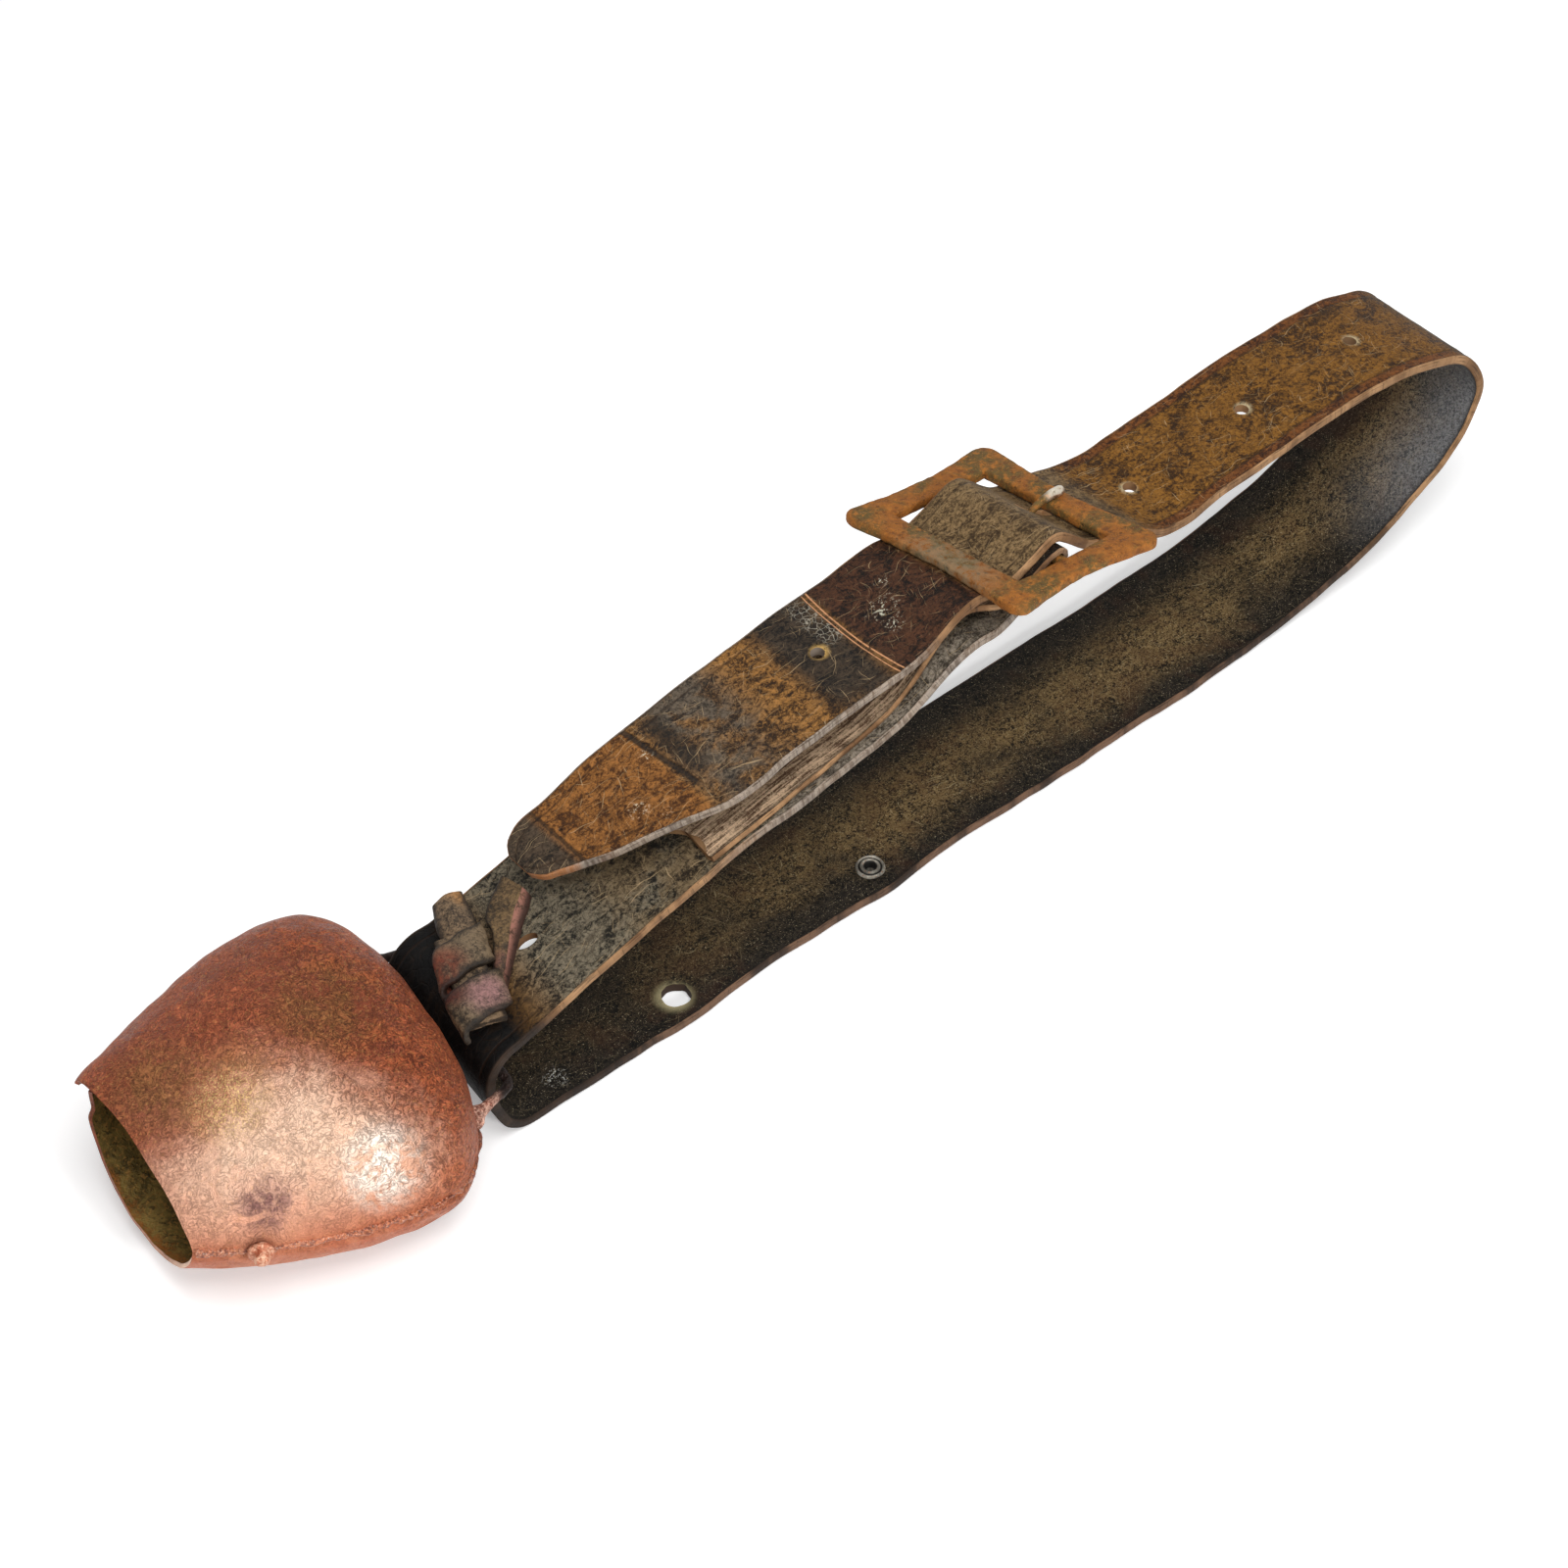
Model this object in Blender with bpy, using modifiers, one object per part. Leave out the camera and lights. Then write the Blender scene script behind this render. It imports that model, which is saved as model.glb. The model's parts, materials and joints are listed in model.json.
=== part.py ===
# A hammered cow bell on a buckled leather collar, lying on its side.
# Metres, +Z up. The collar's lower run lies flat on z = 0, X runs from the bell
# to the collar's bend and Y crosses the strap from its near edge to its far edge.
import math

import bmesh
import bpy
from mathutils import Matrix, Vector

FIT_GAP = 0.0003
LAYER_GAP = 0.0006

# Collar
LEATHER = 0.0036
COLLAR_WIDTH = 0.058
BILLET_WIDTH = 0.050
TIP_WIDTH = 0.051
TIP_SHIFT = 0.001
CHAPE_SKIVE = 0.65
LOOP_SLACK = 0.0055
CHAPE_INSET = 0.001
CHAPE_END_X = -0.086
RUN_END_X = 0.150
RUN_START_X = -0.122
BEND_REACH = 0.298
BEND_HEIGHT = 0.0940
TIP_END_X = -0.136
TIP_END_Z = 0.0705
TIP_ROUND = (0.006, 0.002)
TIP_FALL = (0.0024, 0.0009)
MAIN_RUN_X = (-0.002, -0.045, CHAPE_END_X)
MAIN_RUN_Z = (0.0815, 0.0735, 0.0665)
CHAPE_LIFT = 0.0010
NECK_X = -0.120
NECK_Z = 0.0585
FOLD_ENTRY_X = -0.148
FOLD_EXIT_X = -0.151
RUN_EASE = 0.004
TURN_BACK = (0.092, 0.055, 0.027, 0.008, 0.0)
TURN_RISE = (0.040, 0.140, 0.285, 0.455, 0.640)
CREST_BACK = (0.008, 0.034)
CREST_RISE = (0.815, 0.955)
UPPER_BACK = (0.075, 0.110, 0.140, 0.172)
UPPER_DROP = (0.0, 0.0020, 0.0045, 0.0055)
TAIL_X = (0.008, -0.026, -0.052, -0.074)
TAIL_Z = (0.1025, 0.0990, 0.0950, 0.0907)
TIP_TAPER_X = (-0.096, -0.116)
TIP_TAPER_Z = (0.0845, 0.0770)
HOLE_RADIUS = 0.0026
FIRST_HOLE_X = 0.134
HOLE_SPACING = 0.057
TAIL_HOLE_X = -0.0155
WORN_HOLE_RADIUS = 0.0054
WORN_HOLE_X = -0.097
EDGE_HOLE_INSET = 0.0098

# Bell
BELL_HEIGHT = 0.1085
SHOULDER_HEIGHT = 0.0765
MOUTH_HALF_WIDTH = 0.0350
SHOULDER_HALF_WIDTH = 0.0590
MOUTH_RISE = 0.0125
MOUTH_DROP = 0.0326
SHOULDER_HALF_DEPTH = 0.0341
DOME_POWER = 2.4
MOUTH_POWER = 2.0
CROWN_POWER = 2.3
SHEET = 0.0016
SEAM_LEVEL = -0.004
SEAM_LAP = 0.0075
SEAM_BLEND = 0.006
BELL_X = -0.1748
BELL_YAW = math.radians(-5.6)
BELL_PITCH = math.radians(3.5)
BELL_ROLL = math.radians(4.0)
SECTION_ROLL = math.radians(8.5)

# Bail that the collar passes through
BAIL_ROD = 0.004
BAIL_RISE = 0.012
BAIL_SPREAD = 0.0050
BAIL_CORNER = 0.0045
EDGE_ROOM = 0.0016
FOLD_RADIUS = 0.009
FOLD_ROLL = math.radians(4.0)
FOLD_SAG = 0.85
WASHER_RADIUS = 0.0054
WASHER_THICK = 0.0012
WASHER_ROOM = 0.0010
WASHER_STEP = 0.0001
BAIL_TAIL = 0.0028

# Clapper
STAPLE_ROD = 0.003
STAPLE_HALF_SPAN = 0.006
STAPLE_DROP = 0.013
STAPLE_PROUD = 0.0012
CLAPPER_ROD = 0.0036
CLAPPER_EYE_ROOM = 0.0006
CLAPPER_REACH = 0.062
BALL_RADIUS = 0.0105
CLAPPER_TAIL = 0.0045

# Seam rivets
RIVET_HEIGHT = 0.019
RIVET_INSET = 0.0032
RIVET_SHANK = 0.0016
RIVET_STUB = 0.0026
RIVET_STUB_LENGTH = 0.0034
RIVET_TAIL_RADIUS = 0.0028
RIVET_TAIL = 0.0011
SEAM_COLLAR_RADIUS = 0.0041
SEAM_COLLAR_THICK = 0.0017

# Buckle
BUCKLE_X = 0.0696
BUCKLE_Z = 0.1077
BUCKLE_YAW = math.radians(1.5)
BUCKLE_PITCH = math.radians(8.3)
BUCKLE_ROLL = math.radians(-8.0)
BUCKLE_LENGTH = 0.0726
BUCKLE_BAR_WIDTH = 0.0139
BUCKLE_SIDE_WIDTH = 0.0135
WINDOW_ROOM = 0.0050
FRAME_THICK = 0.0038
FRAME_CORNER = 0.0042
FRAME_DIP = 0.0030
FRAME_EDGE = 0.0007
BAR_ROD = 0.004
TENON_ROD = 0.0022
TENON_LENGTH = 0.006
TONGUE_ROD = 0.0030
TONGUE_REACH = 0.0088
TONGUE_SLOT_ROOM = 0.0009
TONGUE_HOLE_START = 0.36
TONGUE_HOLE_END = 0.0012
TONGUE_HOLE_DEPTH = 0.024
CHAPE_SLOT_BACK = 1.1
CHAPE_SLOT_AHEAD = 1.5

# Leather rivets
STUD_SHANK = 0.0014
STUD_HEAD = 0.0044
STUD_CROWN = 0.0013
BURR_RADIUS = 0.0042
BURR_THICK = 0.0010
STUD_TAIL = 0.0008
STUD_PEEN = 0.0008
CHAPE_STUD_X = -0.058
CHAPE_STUD_Y = 0.0105
EYELET_X = -0.0066
EYELET_INSET = 0.0100
EYELET_BORE = 0.0017
EYELET_WALL = 0.0011

# Thong tied round the doubled collar beside the bell
THONG = 0.0024
THONG_CORE_WIDTH = 0.0120
THONG_CORE_X = (-0.1545, -0.1690)
THONG_CORE_Y = (0.0230, -0.0170)
THONG_TAIL_OUT = 0.0070
WRAP_WIDTH = 0.0165
WRAP_PITCH = 0.0185
WRAP_TURNS = 2
WRAP_ROOM = 0.0008
FREE_TAIL_WIDTH = 0.0105
FREE_TAIL_X = (-0.1275, -0.1510)
FREE_TAIL_Y = (0.0190, -0.0010)
SLIT_X = (-0.1422, -0.1490)
SLIT_Y = (-0.0016, -0.0029)
SLIT_WIDTH = 0.0024

SIDE_RINGS = 9
DOME_RINGS = 8
BELL_SEGMENTS = 52
PATH_STEP = 0.008
STRAP_COLUMNS = 6

WINDOW_WIDTH = BILLET_WIDTH + 2 * WINDOW_ROOM
WINDOW_LENGTH = BUCKLE_LENGTH - 2 * BUCKLE_BAR_WIDTH
BUCKLE_WIDTH = WINDOW_WIDTH + 2 * BUCKLE_SIDE_WIDTH
BAIL_HALF_SPAN = COLLAR_WIDTH / 2 + EDGE_ROOM + BAIL_ROD / 2
BAIL_FOOT = BAIL_HALF_SPAN + BAIL_SPREAD
CHAPE = LEATHER * CHAPE_SKIVE


def clear_scene():
    for old in list(bpy.data.objects):
        bpy.data.objects.remove(old, do_unlink=True)


def new_collection(name, hidden=False):
    made = bpy.data.collections.new(name)
    made.hide_render = hidden
    bpy.context.scene.collection.children.link(made)
    return made


def finish(name, colour, roughness, metallic):
    made = bpy.data.materials.new(name)
    made.use_nodes = True
    shader = made.node_tree.nodes["Principled BSDF"]
    shader.inputs["Base Color"].default_value = (*colour, 1.0)
    shader.inputs["Roughness"].default_value = roughness
    shader.inputs["Metallic"].default_value = metallic
    return made


def mix(low, high, share):
    return low + (high - low) * share


def smooth(share):
    held = min(max(share, 0.0), 1.0)
    return held * held * (3 - 2 * held)


def place(name, data, material, parent=None, matrix=None):
    made = bpy.data.objects.new(name, data)
    parts.objects.link(made)
    made.data.materials.append(material)
    made.parent = parent
    made.matrix_local = matrix or Matrix.Identity(4)
    return made


def mesh_of(name, build):
    body = bmesh.new()
    build(body)
    made = bpy.data.meshes.new(name)
    body.to_mesh(made)
    body.free()
    return made


def shade(made, angle=40):
    made.data.shade_smooth()
    made.data.set_sharp_from_angle(angle=math.radians(angle))


def add_grid(body, rows, closed_rows=False):
    grid = [[body.verts.new(point) for point in row] for row in rows]
    for low, high in zip(grid, grid[1:]):
        count = len(low)
        for index in range(count if closed_rows else count - 1):
            after = (index + 1) % count
            body.faces.new((low[index], low[after], high[after], high[index]))
    return grid


def solidify(made, thickness, offset):
    wall = made.modifiers.new("wall", "SOLIDIFY")
    wall.thickness = thickness
    wall.offset = offset
    wall.use_even_offset = True
    return wall


def turned(name, profile, material, parent, matrix, steps=20, ring=False):
    def build(body):
        points = [body.verts.new((across, 0.0, up)) for across, up in profile]
        pairs = list(zip(points, points[1:]))
        if ring:
            pairs.append((points[-1], points[0]))
        for start, end in pairs:
            body.edges.new((start, end))

    made = place(name, mesh_of(name, build), material, parent, matrix)
    spin = made.modifiers.new("turn", "SCREW")
    spin.steps = steps
    spin.render_steps = steps
    spin.use_merge_vertices = True
    spin.merge_threshold = 0.00001
    spin.use_smooth_shade = True
    return made


def rod(name, points, thickness, material, parent=None, matrix=None, resolution=2):
    line = bpy.data.curves.new(name, "CURVE")
    line.dimensions = "3D"
    line.bevel_depth = thickness / 2
    line.bevel_resolution = resolution
    line.use_fill_caps = True
    run = line.splines.new("POLY")
    run.points.add(len(points) - 1)
    for point, place_at in zip(run.points, points):
        point.co = (*place_at, 1.0)
    return place(name, line, material, parent, matrix)


def cutter(name, data, group, matrix):
    made = bpy.data.objects.new(name, data)
    group.objects.link(made)
    made.matrix_world = matrix
    made.hide_render = True
    made.display_type = "WIRE"
    return made


def pin_cutter(name, radius, length, group, matrix, sides=20):
    def build(body):
        bmesh.ops.create_cone(
            body, cap_ends=True, segments=sides, radius1=radius, radius2=radius, depth=length
        )

    return cutter(name, mesh_of(name, build), group, matrix)


def box_cutter(name, size, group, matrix):
    def build(body):
        bmesh.ops.create_cube(body, size=1.0, matrix=Matrix.Diagonal((*size, 1.0)))

    return cutter(name, mesh_of(name, build), group, matrix)


def cut(made, group):
    hole = made.modifiers.new("holes", "BOOLEAN")
    hole.operation = "DIFFERENCE"
    hole.operand_type = "COLLECTION"
    hole.collection = group
    hole.solver = "EXACT"


def along(axis, centre, toward=Vector((0, 0, 1))):
    turn = toward.rotation_difference(axis).to_matrix().to_4x4()
    return Matrix.Translation(centre) @ turn


def arc(radius, start, end, steps):
    return [
        (radius * math.cos(math.radians(mix(start, end, step / steps))),
         radius * math.sin(math.radians(mix(start, end, step / steps))))
        for step in range(steps + 1)
    ]


# Bell shape: sections are rounded ovals, drawn in its hanging pose with the bail's axis at 0
def bell_section(height):
    """Half width, depth over and under the widest line, and roundness at a height above the mouth."""
    if height <= SHOULDER_HEIGHT:
        swell = math.sin(math.pi / 2 * max(height, 0.0) / SHOULDER_HEIGHT) ** 0.9
        wide = mix(MOUTH_HALF_WIDTH, SHOULDER_HALF_WIDTH, swell)
        over = mix(MOUTH_RISE, SHOULDER_HALF_DEPTH, swell)
        under = mix(MOUTH_DROP, SHOULDER_HALF_DEPTH, swell)
    else:
        climb = (height - SHOULDER_HEIGHT) / (BELL_HEIGHT - SHOULDER_HEIGHT)
        fall = max(0.0, 1 - climb**DOME_POWER) ** (1 / DOME_POWER)
        wide = SHOULDER_HALF_WIDTH * fall
        over = under = SHOULDER_HALF_DEPTH * fall
    return wide, over, under, mix(MOUTH_POWER, CROWN_POWER, min(1.0, height / SHOULDER_HEIGHT))


def bell_point(height, turn):
    wide, over, under, power = bell_section(height)
    across, up = math.cos(turn), math.sin(turn)
    deep = over if up > 0 else under
    point = Vector((
        wide * math.copysign(abs(across) ** (2 / power), across),
        deep * math.copysign(abs(up) ** (2 / power), up),
        height - BELL_HEIGHT - BAIL_RISE,
    ))
    return Matrix.Rotation(SECTION_ROLL, 3, "Z") @ point


def bell_heights():
    side = [SHOULDER_HEIGHT * step / SIDE_RINGS for step in range(SIDE_RINGS + 1)]
    dome = BELL_HEIGHT - SHOULDER_HEIGHT
    quarter = math.pi / 2 / DOME_RINGS
    return side + [SHOULDER_HEIGHT + dome * math.sin(quarter * step) for step in range(1, DOME_RINGS)]


def bell_rows():
    steps = [2 * math.pi * step / BELL_SEGMENTS for step in range(BELL_SEGMENTS)]
    return [[bell_point(height, turn) for turn in steps] for height in bell_heights()]


def bell_turn(height, depth, near):
    low, high = -1.2, 1.2
    for _ in range(40):
        middle = (low + high) / 2
        if bell_point(height, math.pi - middle if near else middle).y < depth:
            low = middle
        else:
            high = middle
    return math.pi - low if near else low


def crown_height(across):
    low, high = SHOULDER_HEIGHT, BELL_HEIGHT
    for _ in range(40):
        middle = (low + high) / 2
        if bell_point(middle, bell_turn(middle, 0.0, near=False)).x > across:
            low = middle
        else:
            high = middle
    return low


def bell_normal(height, turn):
    step = 0.0005
    rise = bell_point(height + step, turn) - bell_point(height - step, turn)
    sweep = bell_point(height, turn + 0.01) - bell_point(height, turn - 0.01)
    return sweep.cross(rise).normalized()


def bell_turned():
    lay = Matrix.Rotation(math.pi / 2, 4, "Z") @ Matrix.Rotation(math.pi / 2, 4, "X")
    roll = Matrix.Rotation(BELL_ROLL, 4, "X")
    pitch = Matrix.Rotation(BELL_PITCH, 4, "Y")
    return Matrix.Rotation(BELL_YAW, 4, "Z") @ pitch @ roll @ lay


def bell_rest():
    turn = bell_turned()
    lowest = min((turn @ point).z for row in bell_rows() for point in row)
    return Matrix.Translation((BELL_X, 0.0, FIT_GAP - lowest)) @ turn


def split(body, level, keep=0):
    bmesh.ops.bisect_plane(
        body,
        geom=body.verts[:] + body.edges[:] + body.faces[:],
        dist=0.00001,
        plane_co=(0.0, level, 0.0),
        plane_no=(0.0, -keep or 1, 0.0),
        clear_outer=keep != 0,
    )


def make_shell(name, material, pivot, lower):
    def build(body):
        rows = add_grid(body, bell_rows(), closed_rows=True)
        top = body.verts.new((0.0, 0.0, -BAIL_RISE))
        for index, point in enumerate(rows[-1]):
            body.faces.new((point, rows[-1][(index + 1) % BELL_SEGMENTS], top))
        if lower:
            split(body, SEAM_LEVEL)
            split(body, SEAM_LEVEL - SEAM_BLEND)
            body.normal_update()
            moves = [
                (point, point.normal * (SHEET + FIT_GAP) * smooth(1 + (point.co.y - SEAM_LEVEL) / SEAM_BLEND))
                for point in body.verts
            ]
            for point, inward in moves:
                point.co -= inward
            split(body, SEAM_LEVEL + SEAM_LAP, keep=-1)
        else:
            split(body, SEAM_LEVEL, keep=1)
        bmesh.ops.remove_doubles(body, verts=body.verts, dist=SHEET / 2)

    made = place(name, mesh_of(name, build), material, pivot)
    solidify(made, SHEET, -1)
    cut(made, bell_cutters)
    shade(made)
    return made


def inside_bell(point):
    height = point.z + BELL_HEIGHT + BAIL_RISE
    if height >= BELL_HEIGHT:
        return False
    wide, over, under, power = bell_section(height)
    level = Matrix.Rotation(-SECTION_ROLL, 3, "Z") @ point
    deep = over if level.y > 0 else under
    return abs(level.x / wide) ** power + abs(level.y / deep) ** power < 1


def washer_sink(foot, leg, normal):
    """How far down the leg a washer square to normal clears the lapped wall all round its rim."""
    wall = 2 * SHEET + 2 * FIT_GAP + WASHER_ROOM
    turn = along(normal, Vector((0, 0, 0))).to_3x3()
    rim = [
        turn @ Vector((WASHER_RADIUS * math.cos(step), WASHER_RADIUS * math.sin(step), WASHER_THICK / 2 + wall))
        for step in (2 * math.pi * step / 24 for step in range(24))
    ]
    sink = wall
    while not all(inside_bell(foot + leg * sink + point) for point in rim):
        sink += WASHER_STEP
    return sink


def make_bail(material, pivot):
    foot_height = crown_height(BAIL_FOOT)
    foot = Vector((BAIL_FOOT, 0.0, foot_height - BELL_HEIGHT - BAIL_RISE))
    shoulder = Vector((BAIL_HALF_SPAN, 0.0, 0.0))
    lean = (foot - shoulder).normalized()
    sides = []
    for side, suffix in ((-1, "near"), (1, "far")):
        seat = Vector((foot.x * side, 0.0, foot.z))
        leg = Vector((lean.x * side, 0.0, lean.z))
        normal = bell_normal(foot_height, bell_turn(foot_height, 0.0, near=side < 0))
        sides.append((suffix, seat, leg, normal, washer_sink(seat, leg, normal)))
    depth = max(sink for *_, sink in sides) + WASHER_THICK + BAIL_TAIL
    bend = math.acos(lean.dot(Vector((-1, 0, 0))))
    cutback = BAIL_CORNER / math.tan(bend / 2)
    centre = shoulder + Vector((-cutback, 0.0, -BAIL_CORNER))
    first, last = math.pi / 2, math.atan2(lean.x, -lean.z)
    corner = [
        centre + BAIL_CORNER * Vector((math.cos(turn), 0.0, math.sin(turn)))
        for turn in (mix(first, last, step / 5) for step in range(6))
    ]
    half = corner + [foot + lean * depth]
    other = [Vector((-point.x, point.y, point.z)) for point in reversed(half)]
    rod("bail", other + half, BAIL_ROD, material, pivot, resolution=3)
    for suffix, seat, leg, normal, sink in sides:
        pin_cutter(
            f"bail_hole_{suffix}", BAIL_ROD / 2 + FIT_GAP, 4 * depth, bell_cutters,
            pivot.matrix_world @ along(leg, seat),
        )
        bore = BAIL_ROD / 2 / abs(normal.dot(leg)) + 2 * FIT_GAP
        turned(
            f"bail_washer_{suffix}",
            ((bore, WASHER_THICK / 2), (WASHER_RADIUS, WASHER_THICK / 2),
             (WASHER_RADIUS, -WASHER_THICK / 2), (bore, -WASHER_THICK / 2)),
            material, pivot, along(normal, seat + leg * sink), ring=True,
        )


def make_staple(material, pivot):
    top = -BAIL_RISE + STAPLE_PROUD
    low = staple_level()
    corner = STAPLE_ROD
    half = [
        Vector((STAPLE_HALF_SPAN - corner + across, 0.0, low + corner + up))
        for across, up in arc(corner, -90, 0, 4)
    ]
    half.append(Vector((STAPLE_HALF_SPAN, 0.0, top)))
    other = [Vector((-point.x, point.y, point.z)) for point in reversed(half)]
    rod("clapper_staple", other + half, STAPLE_ROD, material, pivot)
    for side, suffix in ((-1, "near"), (1, "far")):
        pin_cutter(
            f"staple_hole_{suffix}", STAPLE_ROD / 2 + FIT_GAP, 4 * STAPLE_DROP / 2, bell_cutters,
            pivot.matrix_world @ Matrix.Translation((side * STAPLE_HALF_SPAN, 0.0, -BAIL_RISE)),
        )


def staple_level():
    return -BAIL_RISE - 2 * SHEET - STAPLE_DROP


def make_seam_rivets(material, pivot):
    inner = 2 * SHEET + FIT_GAP
    for near, suffix in ((True, "near"), (False, "far")):
        turn = bell_turn(RIVET_HEIGHT, SEAM_LEVEL + RIVET_INSET, near)
        seat = bell_point(RIVET_HEIGHT, turn)
        frame = along(bell_normal(RIVET_HEIGHT, turn), seat)
        base = FIT_GAP + 2 * FIT_GAP
        head = base + SEAM_COLLAR_THICK + FIT_GAP
        tail = -inner - 2 * FIT_GAP
        turned(
            f"seam_rivet_{suffix}",
            ((0.0, head + RIVET_STUB_LENGTH), (RIVET_STUB * 0.7, head + RIVET_STUB_LENGTH),
             (RIVET_STUB, head + RIVET_STUB_LENGTH * 0.7), (RIVET_STUB, head),
             (RIVET_SHANK, head), (RIVET_SHANK, tail), (RIVET_TAIL_RADIUS, tail),
             (RIVET_TAIL_RADIUS * 0.8, tail - RIVET_TAIL), (0.0, tail - RIVET_TAIL)),
            material, pivot, frame, steps=16,
        )
        turned(
            f"seam_collar_{suffix}",
            ((RIVET_SHANK + FIT_GAP, base + SEAM_COLLAR_THICK),
             (SEAM_COLLAR_RADIUS * 0.8, base + SEAM_COLLAR_THICK),
             (SEAM_COLLAR_RADIUS, base + SEAM_COLLAR_THICK / 2),
             (SEAM_COLLAR_RADIUS * 0.9, base), (RIVET_SHANK + FIT_GAP, base)),
            material, pivot, frame, steps=20, ring=True,
        )
        pin_cutter(
            f"seam_hole_{suffix}", RIVET_SHANK + FIT_GAP, 6 * inner, bell_cutters,
            pivot.matrix_world @ frame,
        )


def make_clapper(material, pivot):
    eye = STAPLE_ROD / 2 + CLAPPER_EYE_ROOM + CLAPPER_ROD / 2
    ball_height = BELL_HEIGHT + BAIL_RISE + staple_level() - CLAPPER_REACH
    under = bell_section(ball_height)[2]
    drop = (under - SHEET - BALL_RADIUS - 3 * FIT_GAP) / math.cos(SECTION_ROLL)
    lean = math.asin(drop / CLAPPER_REACH)
    hinge = bpy.data.objects.new("clapper_pivot", None)
    parts.objects.link(hinge)
    hinge.parent = pivot
    hinge.matrix_local = Matrix.Translation((0, 0, staple_level())) @ Matrix.Rotation(-lean, 4, "X")
    loop = [Vector((0.0, across, up)) for across, up in arc(eye, 205, -90, 14)]
    end = Vector((0.0, 0.0, -CLAPPER_REACH - BALL_RADIUS - CLAPPER_TAIL))
    neck = Vector((0.0, 0.0, -eye - CLAPPER_ROD))
    rod("clapper_shank", loop[:-1] + [Vector((0.0, CLAPPER_ROD / 4, -eye)), neck, end], CLAPPER_ROD,
        material, hinge)
    bore = CLAPPER_ROD / 2 + FIT_GAP
    reach = math.sqrt(BALL_RADIUS**2 - bore**2)
    angles = [math.degrees(math.asin(reach / BALL_RADIUS)) * side for side in (1, -1)]
    outside = [(across, up) for across, up in arc(BALL_RADIUS, angles[0], angles[1], 12)]
    turned("clapper_ball", outside, material, hinge,
           Matrix.Translation((0, 0, -CLAPPER_REACH)), steps=24, ring=True)
    return hinge, lean


# Buckle pieces, in its own frame: X along the strap, Y along the bars, Z out of its face
def buckle_frame_matrix():
    turn = Matrix.Rotation(BUCKLE_YAW, 4, "Z") @ Matrix.Rotation(BUCKLE_PITCH, 4, "Y")
    turn = turn @ Matrix.Rotation(BUCKLE_ROLL, 4, "X")
    return Matrix.Translation((BUCKLE_X, 0.0, BUCKLE_Z)) @ turn


def frame_outline():
    half_x, half_y = BUCKLE_LENGTH / 2, BUCKLE_WIDTH / 2
    inset = FRAME_CORNER
    corners = ((1, 1, 0), (-1, 1, 90), (-1, -1, 180), (1, -1, 270))
    points = []
    for index, (side_x, side_y, start) in enumerate(corners):
        centre = (side_x * (half_x - inset), side_y * (half_y - inset))
        points += [(centre[0] + x, centre[1] + y) for x, y in arc(inset, start, start + 90, 4)]
        after = corners[(index + 1) % 4]
        for share in (0.15, 0.3, 0.5, 0.7, 0.85):
            dip = FRAME_DIP * math.sin(math.pi * share) ** 1.2
            if side_x != after[0]:
                span = mix(half_x - inset, inset - half_x, share) * side_x
                points.append((span, side_y * (half_y - dip)))
            else:
                span = mix(half_y - inset, inset - half_y, share) * side_y
                points.append((side_x * (half_x - dip), span))
    return points


def make_buckle(material, pivot):
    line = bpy.data.curves.new("buckle_outline", "CURVE")
    line.dimensions = "2D"
    line.fill_mode = "BOTH"
    line.extrude = FRAME_THICK / 2 - FRAME_EDGE
    line.bevel_depth = FRAME_EDGE
    line.bevel_resolution = 0
    line.offset = -FRAME_EDGE
    window = [
        (side_x * WINDOW_LENGTH / 2, side_y * WINDOW_WIDTH / 2)
        for side_x, side_y in ((1, 1), (-1, 1), (-1, -1), (1, -1))
    ]
    for outline in (frame_outline(), window):
        run = line.splines.new("POLY")
        run.points.add(len(outline) - 1)
        run.use_cyclic_u = True
        for point, place_at in zip(run.points, outline):
            point.co = (*place_at, 0.0, 1.0)
    flat = bpy.data.objects.new("buckle_outline", line)
    parts.objects.link(flat)
    graph = bpy.context.evaluated_depsgraph_get()
    plate = bpy.data.meshes.new_from_object(flat.evaluated_get(graph))
    bpy.data.objects.remove(flat)
    body = bmesh.new()
    body.from_mesh(plate)
    bmesh.ops.remove_doubles(body, verts=body.verts, dist=0.00001)
    bmesh.ops.recalc_face_normals(body, faces=body.faces)
    body.to_mesh(plate)
    body.free()
    frame = place("buckle_frame", plate, material, pivot)
    half = WINDOW_WIDTH / 2
    for side, suffix in ((-1, "near"), (1, "far")):
        seat = Vector((0.0, side * (half + TENON_LENGTH / 2), 0.0))
        pin_cutter(
            f"tenon_hole_{suffix}", TENON_ROD / 2 + FIT_GAP, TENON_LENGTH + 4 * FIT_GAP,
            buckle_cutters, pivot.matrix_world @ along(Vector((0, 1, 0)), seat), sides=14,
        )
    cut(frame, buckle_cutters)
    shoulder = half - FIT_GAP
    tip = half + TENON_LENGTH - FIT_GAP
    turned(
        "buckle_bar",
        ((0.0, tip), (TENON_ROD / 2, tip), (TENON_ROD / 2, shoulder), (BAR_ROD / 2, shoulder),
         (BAR_ROD / 2, -shoulder), (TENON_ROD / 2, -shoulder), (TENON_ROD / 2, -tip), (0.0, -tip)),
        material, pivot, along(Vector((0, 1, 0)), Vector((0, 0, 0))), steps=16,
    )


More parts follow.
